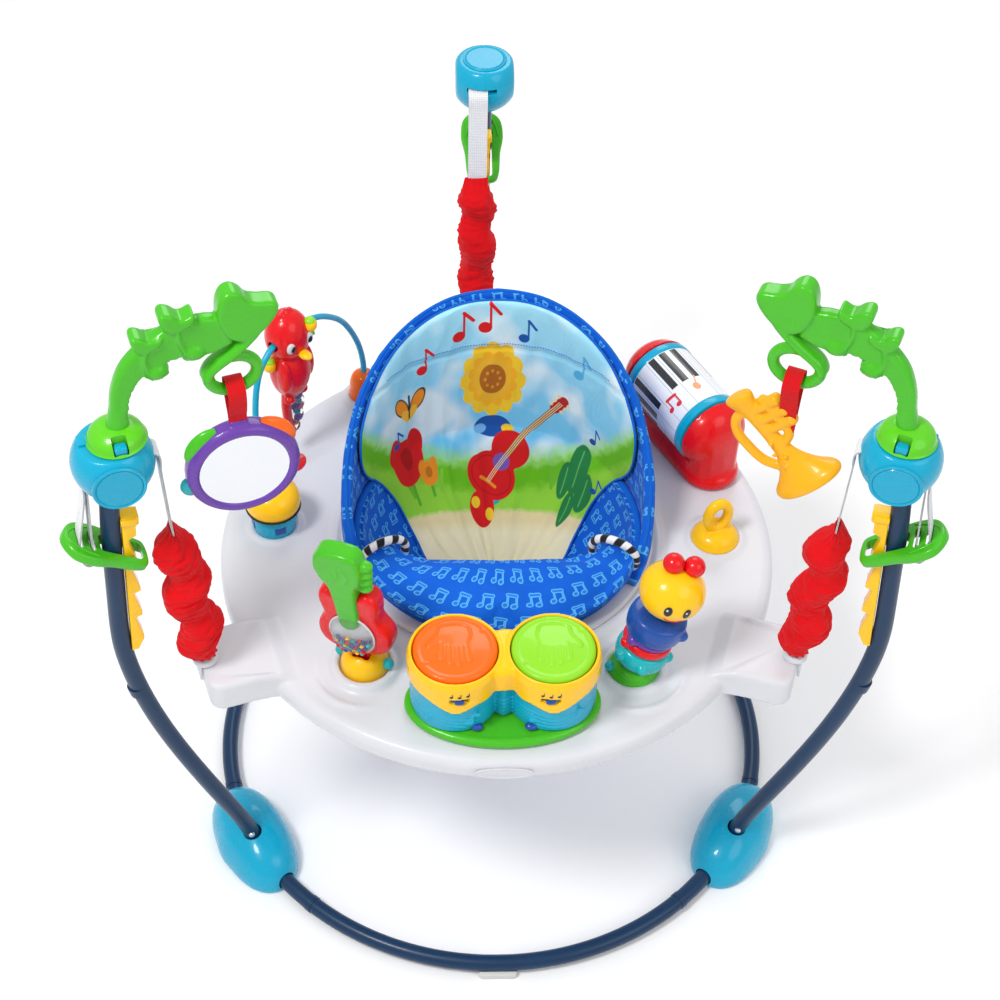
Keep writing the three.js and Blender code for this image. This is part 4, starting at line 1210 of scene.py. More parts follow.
# ---------------------------------------------------------------- seat
# (degrees away from the middle of the back, height of the wall's top edge)
BACK_TOP = [(0, 592), (15, 588), (25, 581), (36, 569), (50, 549), (65, 518), (75, 490), (90, 450),
            (102, 424), (113, 402), (122, 391)]
BACK_TOP_CURVE = [(p.x, p.y) for p in spline([(a, z, 0) for a, z in BACK_TOP], 5)]
WALL_OUT, WALL_IN, WALL_FOOT = 176.0, 161.0, 385.5


def back_top(angle):
    """Height of the wall's top edge at an angle round the seat."""
    return lookup(BACK_TOP_CURVE, abs(angle - 90))


def seat_shell():
    """The padded wall round the seat: tall behind, falling to the bolster in front."""
    start, end = -31.0, 211.0

    def point(u, v):
        angle = start + (end - start) * v
        top = back_top(angle)
        height = max(top - WALL_FOOT, 7.0)
        mid, half = (WALL_OUT + WALL_IN) / 2, (WALL_OUT - WALL_IN) / 2
        turn = 360 * u
        c, s = polar(1, turn)
        box_r, box_z = squared(c, 0.55), squared(s, 0.30)
        puff = 1.2 * noise.noise(Vector((angle * 0.07, box_z * 1.7, 3.0 + box_r)))
        tuck = 0.7 * math.sin(math.radians(angle) * 60) * max(0, box_z) ** 6
        r = mid + box_r * (half - 1.2 + min(puff, 0.9)) + tuck * 0.5
        z = WALL_FOOT + height * (0.5 + 0.5 * box_z) + min(0.0, puff)
        return Vector((*polar(r, angle), z))

    def flat(u, v):
        angle = start + (end - start) * v
        return math.radians(angle) * WALL_OUT, point(u, v).z
    verts, faces, uvs = grid(point, 96, 240, wrap=True, cap=True)
    uvs = [tuple(flat(u, v) for u, v in face) for face in uvs]
    obj = finish_piece(new_object("seat_wall", [(verts, faces, uvs)], SEAT), NOTE_CLOTH, "seat",
                       ["seat_back"], sharp=0)
    edge = [Vector((*polar(168.5, a), back_top(a) + 0.2)) for a in range(-20, 201, 2)]
    piece("seat_edge_piping", [sweep(edge, 2.1, 12)], PIPING, "seat", SEAT)


# The printed pad runs up the bucket and the wall: (radius, height, half of its angle round the seat).
PANEL = [
    (24, 266.5, 80), (38, 267.5, 78), (60, 270.5, 74), (86, 282.5, 66), (107, 299, 59), (125, 318, 56),
    (136, 339, 56), (144, 359, 58), (150, 378, 61), (156, 392, 64), (158.6, 402, 67), (159, 430, 73),
    (159, 460, 75.5), (159, 488, 74), (159, 509, 67.5), (159, 527, 60), (159, 543, 53), (159, 557, 45),
    (159, 569, 36), (159, 579, 26), (159, 585, 15), (159, 587, 6),
]
PANEL_R = 159.0
SEAM_ROW, STITCH_ROW = 128.0, 134.0
STITCHES = 90


def path_lengths(points):
    """How far along the path each of its points is."""
    total = [0.0]
    for a, b in zip(points, points[1:]):
        total.append(total[-1] + math.hypot(b.x - a.x, b.y - a.y))
    return total


def seat_panel():
    """The printed pad inside the back, which runs down into the seat bucket."""
    line = spline(PANEL, 5)
    lengths = path_lengths(line)
    zero = lengths[min(range(len(line)), key=lambda i: abs(line[i].y - 392))]
    last = len(line) - 1

    def surface(u, i, front):
        here, before, after = line[i], line[max(i - 1, 0)], line[min(i + 1, last)]
        along = Vector((after.x - before.x, after.y - before.y)).normalized()
        inward = Vector((-along.y, along.x))
        angle = 90 + here.z * (2 * u - 1)
        rim = min(u, 1 - u, i / last, 1 - i / last)
        plump = 1 - math.exp(-rim * 24)
        wide = noise.noise(Vector((angle * 0.05, lengths[i] * 0.006, 7.0)))
        slant = Vector((angle * 0.085 + lengths[i] * 0.004, lengths[i] * 0.010, 2.0))
        crease = 1 - 2 * abs(noise.noise(slant))
        seam = math.exp(-((lengths[i] - zero - SEAM_ROW) / 1.9) ** 2)
        gather = 0.25 + 0.75 / (1 + math.exp((lengths[i] - zero - 40) / 34))
        steep = Vector((angle * 0.10 - lengths[i] * 0.0016, lengths[i] * 0.004, 5.0))
        ray = 1 - 2 * abs(noise.noise(steep))
        crease = 0.55 * crease + 1.15 * ray * gather
        depth = 1.2 + 4.4 * plump + (2.6 * wide + 3.0 * crease) * plump - 2.6 * seam if front else -0.6
        depth = max(depth, 0.5) if front else depth
        radius, height = here.x + inward.x * depth, here.y + inward.y * depth
        return Vector((*polar(radius, angle), height))

    def flat(u, i):
        return math.radians(-line[i].z * (2 * u - 1)) * PANEL_R, lengths[i] - zero
    shapes = []
    for front in (True, False):
        verts, faces, uvs = grid(lambda u, v, f=front: surface(u, round(v * last), f), 260, last)
        if front:
            faces = [tuple(reversed(f)) for f in faces]
            uvs = [tuple(reversed(c)) for c in uvs]
        shapes.append((verts, faces, [tuple(flat(u, round(v * last)) for u, v in face) for face in uvs]))
    obj = finish_piece(new_object("seat_print", shapes, SEAT), PRINT_CLOTH, "seat", sharp=0)
    sides = [surface(0, i, True) for i in range(0, last)] + [surface(u / 20, last, True) for u in range(21)]
    sides += [surface(1, i, True) for i in range(last - 1, -1, -1)]
    piece("print_piping", [sweep(sides, 1.4, 10)], PIPING, "seat", SEAT)
    row = min(range(len(line)), key=lambda i: abs(lengths[i] - zero - STITCH_ROW))
    thread = []
    for k in range(STITCHES):
        ends = [surface(0.05 + 0.01 * (k + share), row, True) for share in (0.0, 0.6)]
        thread.append(sweep(ends, 0.5, 6))
    piece("print_stitches", thread, PIPING, "seat", SEAT)


BOLSTER_FROM, BOLSTER_SWEEP = 203.0, 134.0
BOLSTER_OUT, BOLSTER_MID_IN, BOLSTER_END_IN = 171.0, 76.0, 110.0
BOLSTER_Z, BOLSTER_HALF = 408, 23.6
SWELL_PRESSURE, SWELL_MOST = 2.5, 0.006


def bolster_point(u, v, grow):
    """A point on the front pad: u goes round the pad, v along it; grow moves the skin outward in mm."""
    angle = BOLSTER_FROM + BOLSTER_SWEEP * v
    near = BOLSTER_MID_IN / abs(math.sin(math.radians(angle)))
    inner = -math.log(math.exp(-near / 6) + math.exp(-BOLSTER_END_IN / 6)) * 6
    taper = 1 - 0.3 * abs(2 * v - 1) ** 6
    c, s = polar(1, 360 * u)
    radial = (BOLSTER_OUT - inner) / 2 * taper + grow
    rise = BOLSTER_HALF * taper + grow
    r = (BOLSTER_OUT + inner) / 2 + radial * squared(c, 0.9)
    return Vector((*polar(r, angle), BOLSTER_Z + rise * squared(s, 0.9)))


def seat_bolster():
    """The padded front of the seat. Cloth with air pressure inside swells it into its soft shape."""
    verts, faces, uvs = grid(lambda u, v: bolster_point(u, v, -3.2), 60, 110, wrap=True, cap=True)
    uvs = [tuple((v * 330, u * 205) for u, v in face) for face in uvs]
    obj = new_object("seat_bolster_pad", [(verts, faces, uvs)], SEAT)
    inflate(obj, SWELL_PRESSURE, SWELL_MOST)
    finish_piece(obj, NOTE_CLOTH, "seat", ["seat_bolster"], sharp=0)
    steps = 44
    for end, v in (("left", 0.02), ("right", 0.98)):
        loop = [bolster_point(i / steps, v, 2.6) for i in range(steps)]
        verts, faces, uvs = sweep(loop, 4.9, 16, closed=True)
        uvs = [tuple((a, b * 190) for a, b in face) for face in uvs]
        piece(f"zebra_{end}", [(verts, faces, uvs)], ZEBRA, "seat", SEAT)


def inflate(obj, pressure, most):
    """Blender's cloth with pressure, run for a few frames; no point moves further than most."""
    rest = [v.co.copy() for v in obj.data.vertices]
    scene = bpy.context.scene
    cloth_modifier = obj.modifiers.new("swell", "CLOTH")
    settings = cloth_modifier.settings
    settings.quality = 6
    settings.mass = 0.2
    settings.tension_stiffness = 12
    settings.bending_stiffness = 0.4
    settings.use_pressure = True
    settings.uniform_pressure_force = pressure
    settings.effector_weights.gravity = 0
    settings.shrink_min = -0.03
    cloth_modifier.point_cache.frame_start = 1
    cloth_modifier.point_cache.frame_end = 20
    for frame_number in range(1, 19):
        scene.frame_set(frame_number)
    bake_modifiers(obj)
    scene.frame_set(1)
    for vertex, start in zip(obj.data.vertices, rest):
        move = vertex.co - start
        if move.length > most:
            vertex.co = start + move * (most / move.length)


BUCKET_ROUND, BUCKET_DEPTH = 950.0, 420.0


def seat_bucket():
    """The hanging bucket with its two leg openings, bound with piping."""
    outer = [(AXIS, 258), (35, 259), (62, 262), (90, 274), (112, 292), (130, 314), (142, 335), (150, 357),
             (156, 378), (156.5, 387)]
    inner = [(152, 387), (151, 378), (145, 357), (137, 337), (126, 316), (108, 297), (87, 280), (60, 268),
             (35, 265), (AXIS, 264)]
    curves = [spline([(r, z, 0) for r, z in side], 3) for side in (outer, inner)]
    loop = [(max(p.x, AXIS), p.y) for curve in curves for p in curve]
    body = revolve(loop, 96)

    def wrinkled(p):
        ripple = 0.9 * noise.noise(p * 0.05) + 0.5 * math.sin(math.atan2(p.y, p.x) * 24)
        return p + Vector((p.x, p.y, 0)).normalized() * ripple

    holes = [ball((x, -78, 292), (46, 60, 46), 48, 32) for x in (-74, 74)]
    flat = [tuple((u * BUCKET_ROUND, v * BUCKET_DEPTH) for u, v in face) for face in body[2]]
    skin = ([wrinkled(p) for p in body[0]], body[1], flat)
    cut_piece("seat_bucket_cloth", [skin], holes, NOTE_CLOTH, "seat", SEAT, ["seat_sling"], sharp=60)


def seat_ring():
    """The white turning ring and the piping over the bucket's edge."""
    rim = [Vector((*polar(159.6, a), 387.2)) for a in range(0, 360, 3)]
    piece("bucket_binding", [sweep(rim, 4.2, 12, closed=True)], PIPING, "seat", SEAT)
    loop = [(158, 352), (163.5, 352), (163.5, 376.6), (175.6, 376.6), (176, 379), (173.5, 383), (170, 384),
            (158, 384)]
    piece("seat_turning_ring", [ring_solid(loop, 120)], WHITE, "seat", SEAT, ["seat_ring"], sharp=30)


seat_shell()
seat_panel()
seat_bolster()
seat_bucket()
seat_ring()


# ---------------------------------------------------------------- drums
DRUM_X, DRUM_Y, DRUM_TOP, DRUM_FOOT = 50.0, -234.0, 465.0, 387.8
CAN_R, SWITCH_X = 46.2, 46
DRUMS = ROW @ shift(0, DRUM_Y)


def figure_eight(r, waist):
    """Two joined circles as one outline with a soft waist."""
    reach = math.degrees(math.acos(min(1.0, (DRUM_X - 9) / r)))
    turns = range(int(reach - 180), int(180 - reach) + 1, 4)
    right = [Vector((DRUM_X, 0)) + Vector(polar(r, a)) for a in turns]
    left = [Vector((-p.x, -p.y)) for p in right]
    around = right + [Vector((0, waist))] + left + [Vector((0, -waist))]
    return [p.xy for p in spline([(p.x, p.y, 0) for p in around], 2, closed=True)]


def drum_wave(x):
    """Height of the wavy lower edge of the yellow top."""
    lobe = abs(abs(x) - DRUM_X)
    return 436 - 15 * math.exp(-(lobe / 21) ** 2) - 4 * math.exp(-((abs(x) - 18) / 9) ** 2) + abs(x) * 0.03


# The outline of a hand, finger by finger and then the palm with its thumb
HAND = [[(-16, 4), (-17, -17), (-12, -18), (-11, -1)], [(-8, 0), (-8, -23), (-3, -23), (-3, -1)],
        [(0, -1), (1, -25), (6, -24), (5, -1)], [(9, 0), (12, -20), (17, -18), (14, 4)],
        [(-17, 2), (-26, -3), (-28, 2), (-19, 14), (-14, 26), (10, 27), (16, 16), (14, 4)]]


def drum_foot():
    """The flat green oval under the drums, with a rolled rim."""
    turns = (polar(1, 4.5 * i) for i in range(80))
    base = [Vector((102 * c, -2 + 58 * s)) for c, s in turns]
    rim = sweep([(*p, DRUM_FOOT - 2.6) for p in offset(base, 5)], 2.6, 12, closed=True)
    moulded("drum_foot_plate", [slab(offset(base, -1), 376.6, DRUM_FOOT - 1, 4, 5), rim], GREEN, "tray",
            DRUMS, ["drum_base"], voxel=1.4)


def drum_can():
    """The blue body with four wavy staff lines and raised notes."""
    body = [slab(figure_eight(CAN_R, 27), DRUM_FOOT, 440, 3, 4)]
    loop = figure_eight(CAN_R + 0.2, 27.2)
    for k in range(4):
        path = [(p.x, p.y, 397 + 5.4 * k + 2.2 * math.sin(p.x * 0.075 + 0.6)) for p in loop]
        body.append(sweep(path, 0.75, 8, closed=True))
    for x, z, size in ((-76, 405, 1.0), (-36, 401, 1.25), (30, 402, 1.25), (72, 407, 1.0)):
        depth = -math.sqrt(CAN_R ** 2 - (abs(x) - DRUM_X) ** 2)
        stem_x = x + 3.6 * size
        body.append(ball((x, depth, z), (4.6 * size, 2.2, 3.6 * size), 16, 10))
        body.append(sweep([(stem_x, depth, z), (stem_x, depth, z + 12 * size)], 1.3, 8))
        body.append(ball((x + 6.4 * size, depth, z + 11 * size), (4 * size, 1.8, 2.1 * size), 14, 8))
    moulded("drum_can", body, CYAN, "tray", DRUMS, ["drum_body"], voxel=1.2, relax=3)


def drum_top():
    """The yellow top: two wells for the pads, two switch pockets and a wavy lower edge."""
    wave = [Vector((x, drum_wave(x))) for x in range(-110, 111, 2)]
    under = upright([(-110, 370), (110, 370), *reversed(wave)], 90, 0.5)
    wells = [slab(circle(43.9, x, 0, 72), 455, 480, 0.6) for x in (-DRUM_X, DRUM_X)]
    wells += [slab(circle(44.4, x, 0, 72), 462.4, 480, 0.6) for x in (-DRUM_X, DRUM_X)]
    pockets = [block(x - 10, x + 10, -70, -43.8, 437.4, 445, 0.8) for x in (-SWITCH_X, SWITCH_X)]
    top = [slab(figure_eight(49.6, 31), 410, DRUM_TOP, 6.5, 8)]
    for x in (-DRUM_X, DRUM_X):
        lip = [Vector((x, 0, DRUM_TOP - 0.4)) + Vector((*polar(CAN_R, a), 0)) for a in range(0, 360, 5)]
        top.append(sweep(lip, 2.0, 12, closed=True))
    moulded("drum_top", top, YELLOW, "tray", DRUMS, cuts=[under, *wells, *pockets], voxel=1.2, relax=3)


def drums():
    """The twin drums with their pads, nubs and switches."""
    drum_foot()
    drum_can()
    drum_top()
    for x in (-28, 28):
        piece(f"drum_nub_{'left' if x < 0 else 'right'}", [ball((x, -41.5, 391.8), (6.6, 5, 4.0), 28, 18)],
              DEEP_BLUE, "tray", DRUMS)
    for side, x, material in (("left", -DRUM_X, ORANGE), ("right", DRUM_X, LIME)):
        drum_pad(side, x, material)
    for name, x in (("volume_switch", -SWITCH_X), ("mode_switch", SWITCH_X)):
        face = [block(x - 5, x + 5, -50.8, -45.0, 438.8, 443.6, 1.6)]
        face += [block(x - 2.2 + k, x - 1.4 + k, -51.3, -50, 439.4, 443, 0.3) for k in (0, 1.8, 3.6)]
        piece(f"{name}_cap", face, DEEP_BLUE, name, DRUMS, [name])
        # a black sheet at the back of each switch pocket: painted shade for the dark inside of the slot
        slot = block(x - 10.4, x + 10.4, -44.4, -43, 437, 445.4, 0.6)
        piece(f"{name}_slot", [slot], BLACK, "tray", DRUMS)
        switch_icons(name, x)


def switch_icons(name, x):
    """Three small printed marks over a switch: off, low and high."""
    marks = []
    for k, tilt in enumerate((-0.3, 0.0, 0.35)):
        cx = x + (k - 1) * 8.2
        out = -math.sqrt(max(49.75 ** 2 - (abs(cx) - DRUM_X) ** 2, 0))
        height = 449.5 + abs(k - 1) * 0.6
        marks.append(ball((cx, out, height), (1.9, 0.35, 1.5), 14, 8))
        stem = [(cx + 1.5, out, height), (cx + 1.5 + tilt, out, height + 4.6)]
        marks.append(sweep(stem, 0.42, 8))
    piece(f"{name}_marks", marks, BLACK, "tray", DRUMS)


def drum_pad(side, x, material):
    """A pressed pad: a soft dome with a raised hand outline."""
    profile = [(AXIS, 458), (43.2, 458), (43.2, 465.5), (41.6, 468.0), (38.5, 469.1), (36.8, 468.6),
               (35.6, 468.3), (20, 469.4), (AXIS, 469.8)]
    dome = revolve(profile, 96)
    way = 1 if side == "left" else -1
    relief = [sweep(spline([(way * a, b + 3, 469.2) for a, b in line], 6), 0.95, 10) for line in HAND]
    for fx, fy in ((28, 22), (-30, -20)):
        relief.append(ball((fx, fy, 468.6), (2.3, 2.3, 0.9), 16, 8))
    moulded(f"drum_pad_{side}_skin", [dome, *relief], material, f"drum_pad_{side}", DRUMS @ shift(x, 0),
            [f"drum_pad_{side}"], voxel=0.9, relax=2)


# ---------------------------------------------------------------- piano roller
PIANO_AT, PIANO_Z, ROLLER_R = (220.5, 158.0), 440.0, 43.0
BARREL_HALF, BARREL_ROUND, KEYS_ROUND = 47, 2 * math.pi * ROLLER_R, 18
PIANO = ROW @ shift(*PIANO_AT) @ turned("Z", 118.3)


def key_pattern(tree, u, v):
    """White barrel: thin key lines, black keys along one end, a red beamed note and an orange maraca."""
    white = (0.84, 0.86, 0.90)
    pitch = BARREL_ROUND / KEYS_ROUND
    local = ((v / pitch).fract() - 0.5) * pitch
    colour = mix(tree, inside(local.abs() - 0.25, 0.3), white, (0.28, 0.30, 0.36))
    beat = (v / pitch + 0.5).floor()
    pattern = (beat / 7.0).fract() * 7.0
    gap_a = inside((pattern - 2).abs() - 0.4, 0.2)
    gap_b = inside((pattern - 6).abs() - 0.4, 0.2)
    edge = ((v / pitch + 0.5).fract() - 0.5) * pitch
    key = unit_box(edge, u, 0, 18, 4.4, 26)
    black = inside(key, 0.5) * (1 - gap_a) * (1 - gap_b)
    colour = mix(tree, black, colour, (0.012, 0.014, 0.02))
    third = (v / (BARREL_ROUND / 3)).fract() * (BARREL_ROUND / 3)
    heads = ellipse(third, u, 24, -26, 3.8, 3.0).min(ellipse(third, u, 36, -28, 3.8, 3.0))
    stems = segment(third, u, 27, -26, 27, -13, 1.0).min(segment(third, u, 39, -28, 39, -15, 1.0))
    note = heads.min(stems).min(segment(third, u, 27, -13, 39, -15, 2.0))
    colour = mix(tree, inside(note, 0.5), colour, (0.72, 0.015, 0.02))
    maraca = ellipse(third, u, 66, -22, 4.6, 6.0).min(segment(third, u, 66, -22, 72, -6, 1.0))
    colour = mix(tree, inside(maraca, 0.5), colour, (0.90, 0.20, 0.02))
    return colour, black * -1


KEYS = pattern_plastic("piano_print", "white_plastic", key_pattern, relief=0.0003)


def piano_frame():
    """The red base with a domed cap at each end of the barrel."""
    arcs = [Vector((62, 0)) + Vector(polar(34, a)) for a in range(-90, 91, 6)]
    outline = arcs + [Vector((-p.x, -p.y)) for p in arcs]
    cap = [(AXIS, 0), (40.5, 0), (40.6, 5), (38.5, 11), (33, 18), (23, 24.5), (11, 28.3), (AXIS, 29.5)]
    half_web = [(58, -30), (58, 30), (76, 28), (86, 18), (88, 0), (86, -18), (76, -28)]
    shapes = [slab(outline, 376.6, 393, 6, 6), slab(offset(outline, 5), 388, 400, 5, 5)]
    for way in (1, -1):
        side = shift(58 * way, 0, PIANO_Z) @ turned("Y", 90 * way)
        shapes.append(moved(revolve(rounded(cap, 4), 72), side))
        web = [(x * way, y * way) for x, y in half_web]
        shapes.append(slab(web, 380, PIANO_Z + 2, 3, 4))
    trough = moved(slab(circle(ROLLER_R + 2.2, sides=72), -57.4, 57.4, 0.5),
                   shift(0, 0, PIANO_Z) @ turned("Y", 90))
    moulded("piano_frame", shapes, RED, "tray", PIANO, ["piano_base"], cuts=[trough], voxel=1.9, relax=6)


def piano_barrel():
    """The printed barrel and the blue ring at each of its ends."""
    def along(v):
        return BARREL_HALF * (2 * v - 1)

    def point(u, v):
        return Vector((along(v), *polar(ROLLER_R, 360 * u))) + Vector((0, 0, PIANO_Z))
    verts, faces, uvs = grid(point, 144, 24, wrap=True)
    uvs = [tuple((along(v), u * BARREL_ROUND) for u, v in face) for face in uvs]
    piece("piano_barrel", [(verts, faces, uvs)], KEYS, "piano_roller", PIANO, ["piano_roller"])
    loop = [(30, 44), (ROLLER_R - 0.6, 44), (ROLLER_R + 0.5, 45.4), (ROLLER_R + 0.8, 51),
            (ROLLER_R + 0.2, 55.5), (41, 56.6), (30, 56.6)]
    for name, way in (("far", 1), ("near", -1)):
        ring = moved(ring_solid(loop, 96), shift(0, 0, PIANO_Z) @ turned("Y", 90 * way))
        piece(f"piano_ring_{name}", [ring], CYAN, "piano_roller", PIANO)


# ---------------------------------------------------------------- guitar
GUITAR_PIVOT = 396.0
GUITAR_FOOT = ROW @ shift(*GUITAR_AT) @ turned("Z", -22)
GUITAR = GUITAR_FOOT @ shift(0, 0, GUITAR_PIVOT) @ turned("X", 3) @ turned("Y", -6) @ Matrix.Scale(1.06, 4)


def bezier(a, b, c, d, steps=8):
    """Points of a cubic curve from a towards d, without d itself."""
    points = []
    for i in range(steps):
        t = i / steps
        s = 1 - t
        points.append(Vector(a) * s ** 3 + Vector(b) * (3 * t * s * s) + Vector(c) * (3 * t * t * s)
                      + Vector(d) * t ** 3)
    return points


def guitar_outline():
    """The body seen from the front: wide lower bout, waist and two shoulders."""
    right = bezier((0, 14), (26, 12), (40, 24), (39, 42)) + bezier((39, 42), (38, 58), (27, 60), (29, 72))
    right += bezier((29, 72), (33, 88), (33, 102), (20, 104)) + [Vector((20, 104)), Vector((10, 99))]
    return right + [Vector((-p.x, p.y)) for p in reversed(right[1:])]


def guitar_foot():
    """The domed foot with a slot for the guitar's tongue and a nub on either side."""
    dome = [(AXIS, 376.8), (25.8, 376.8), (25.6, 384), (24.4, 391), (21, 398), (15, 402.6), (7, 404.6),
            (AXIS, 405)]
    slot = block(-9.5, 9.5, -12, 12, GUITAR_PIVOT - 6, 440, 2)
    moulded("guitar_foot", [revolve(dome, 64)], YELLOW, "tray", GUITAR_FOOT, ["guitar_base"], cuts=[slot],
            voxel=1.2)
    for way, name in ((-1, "left"), (1, "right")):
        nub = [ball((27 * way, 0, 391), 6.2, 28, 20),
               sweep([(15 * way, 0, 391), (26 * way, 0, 391)], 4, 12)]
        piece(f"guitar_nub_{name}", nub, TEAL, "tray", GUITAR_FOOT)


def guitar():
    """The rocking guitar: body with a hollowed front, neck and clear window."""
    dish = ball((0, -15.5, 47), (24, 11, 27), 48, 32)
    tongue = [upright(circle(11, 0, 0, 40), 7, 2), block(-7, 7, -7, 7, 4, 20, 2)]
    rail = [(p.x * 0.8, -11.5, 14 + (p.y - 14) * 0.84 + 8) for p in guitar_outline()]
    moulded("guitar_body", [upright(guitar_outline(), 12, 5.5), *tongue, sweep(rail, 1.2, 8, closed=True)],
            RED, "guitar", GUITAR, ["guitar_toy"], cuts=[dish], voxel=1.25, relax=4)
    guitar_neck()
    guitar_window()


def guitar_neck():
    """Chunky green neck and head with tuning pegs down one side and raised marks."""
    neck = [(-9, 60), (9, 60), (12.5, 98), (15, 116), (21, 126), (24, 142), (22, 157), (12, 164),
            (-12, 164), (-22, 157), (-25, 142), (-21, 126), (-15, 116), (-12.5, 98)]
    smooth = [p.xy for p in spline([(x, z, 0) for x, z in neck], 4, closed=True)]
    shapes = [moved(upright(smooth, 11, 4), shift(0, -5))]
    for k in range(4):
        z = 114 + 10.4 * k
        shapes.append(ball((21 + k * 1.6, -4, z), (8.2, 6.6, 5.4), 28, 18))
    face = -16.4
    for x, z in ((-9, 128), (-4, 132)):
        shapes.append(ball((x, face, z), (3.6, 1.3, 2.8), 16, 10))
        shapes.append(sweep([(x + 3, face, z), (x + 4.6, face, z + 13)], 1.0, 8))
    shapes.append(sweep([(-4.4, face, 141), (0.6, face, 145)], 1.2, 8))
    squiggle = [(7 + 3 * math.sin(a / 3), face, 128 + a * 1.7) for a in range(12)]
    shapes.append(sweep(squiggle, 1.0, 8))
    for z in range(70, 111, 10):
        shapes.append(sweep([(-8, face + 0.6, z), (8, face + 0.6, z)], 0.7, 8))
    moulded("guitar_neck", shapes, GREEN, "guitar", GUITAR, voxel=1.2, relax=4)


BEAD_COLOURS = (RED, YELLOW, DEEP_BLUE, TEAL, PURPLE)


def guitar_window():
    """A clear oval pod on the body with loose beads in its lower half, framed by a thin white edge."""
    pod = ball((0, -13.5, 46), (22.5, 11.5, 26), 56, 36)
    piece("guitar_window", [pod], CLEAR, "guitar", GUITAR)
    piece("guitar_window_back", [ball((0, -9.4, 46), (20.5, 2.2, 24), 40, 24)], WHITE, "guitar", GUITAR)
    edge = sweep(oval((0, 46), 23.2, 26.8, -13.2), 1.1, 12, closed=True)
    piece("guitar_window_edge", [edge], WHITE, "guitar", GUITAR)
    guitar_beads()


def guitar_beads():
    """Beads heaped in the lower half of the window, each nudged a little out of its row."""
    groups = [[] for _ in BEAD_COLOURS]
    count = 0
    for layer in range(4):
        for column in range(-3, 4):
            x = column * 5.2 + (layer % 2) * 2.6
            z = 28 + layer * 4.7 + (column % 2) * 0.8
            if (x / 20) ** 2 + ((z - 46) / 23.5) ** 2 >= 0.92:
                continue
            for depth in (-20.0, -15.5):
                nudge = (math.sin(count * 2.4), math.cos(count * 1.7), math.sin(count * 3.1))
                at = Vector((x, depth, z)) + Vector(nudge) * 0.8
                groups[count % len(groups)].append(ball(at, 2.4, 14, 10))
                count += 1
    for index, shapes in enumerate(groups):
        piece(f"guitar_beads_{index}", shapes, BEAD_COLOURS[index], "guitar", GUITAR)


# ---------------------------------------------------------------- stacking bug
BUG_FOOT = ROW @ shift(*BUG_AT, TOY_FLOOR)
BUG = BUG_FOOT @ turned("Y", 14)


def bug():
    """A round-headed bug on a stem of turning rings."""
    base = [(AXIS, 0), (25.6, 0), (25.8, 6), (23, 12), (15, 15.6), (AXIS, 16)]
    piece("bug_base", [revolve(rounded(base, 5), 64)], GREEN, "tray", BUG_FOOT, ["bug_stand"])
    piece("bug_stem", [revolve([(AXIS, 8), (6.8, 8), (6.8, 112), (AXIS, 112)], 32)], GREEN, "tray", BUG)
    for way, name in ((-1, "left"), (1, "right")):
        piece(f"bug_nub_{name}", [ball((25 * way, -4, 8.5), (6, 6, 5.6), 24, 16)], TEAL, "tray", BUG_FOOT)
    bug_stack()
    bug_head()


def stack_ring(z, r, half, name, material, knobs):
    """One fat turning ring with a grooved band and round knobs on its edge."""
    loop = [(8, z - half), (r - 4, z - half), (r, z - half * 0.4), (r, z + half * 0.4), (r - 4, z + half),
            (8, z + half)]
    dense = [p.xy for p in spline([(a, b, 0) for a, b in loop], 5, closed=True)]
    dense = [(max(p.x, 8), p.y) for p in dense]
    shapes = [ring_solid(dense, 72)]
    for angle in knobs:
        x, y = polar(r - 1, angle)
        shapes.append(ball((x, y, z), (6.8, 6.8, 6.4), 24, 16))
        for a in (0.4, 2.5, 4.6):
            dot = (x + 2.6 * math.cos(a), y + 2.6 * math.sin(a), z + 4.6)
            shapes.append(ball(dot, (1.6, 1.6, 1.2), 10, 6))
    moulded(name, shapes, material, "bug_rings", BUG, ["bug_rings"] if name == "bug_ring_teal" else [],
            voxel=1.2, relax=4)


def bug_stack():
    """The four rings, from the foot up."""
    stack_ring(32, 28.5, 11, "bug_ring_teal", TEAL, (205, 265, 350))
    stack_ring(50, 26.5, 6, "bug_ring_red", RED, (200,))
    stack_ring(61, 26, 4.6, "bug_ring_plum", PURPLE, (215,))
    stack_ring(80, 31, 13.5, "bug_ring_blue", DEEP_BLUE, (330, 20))


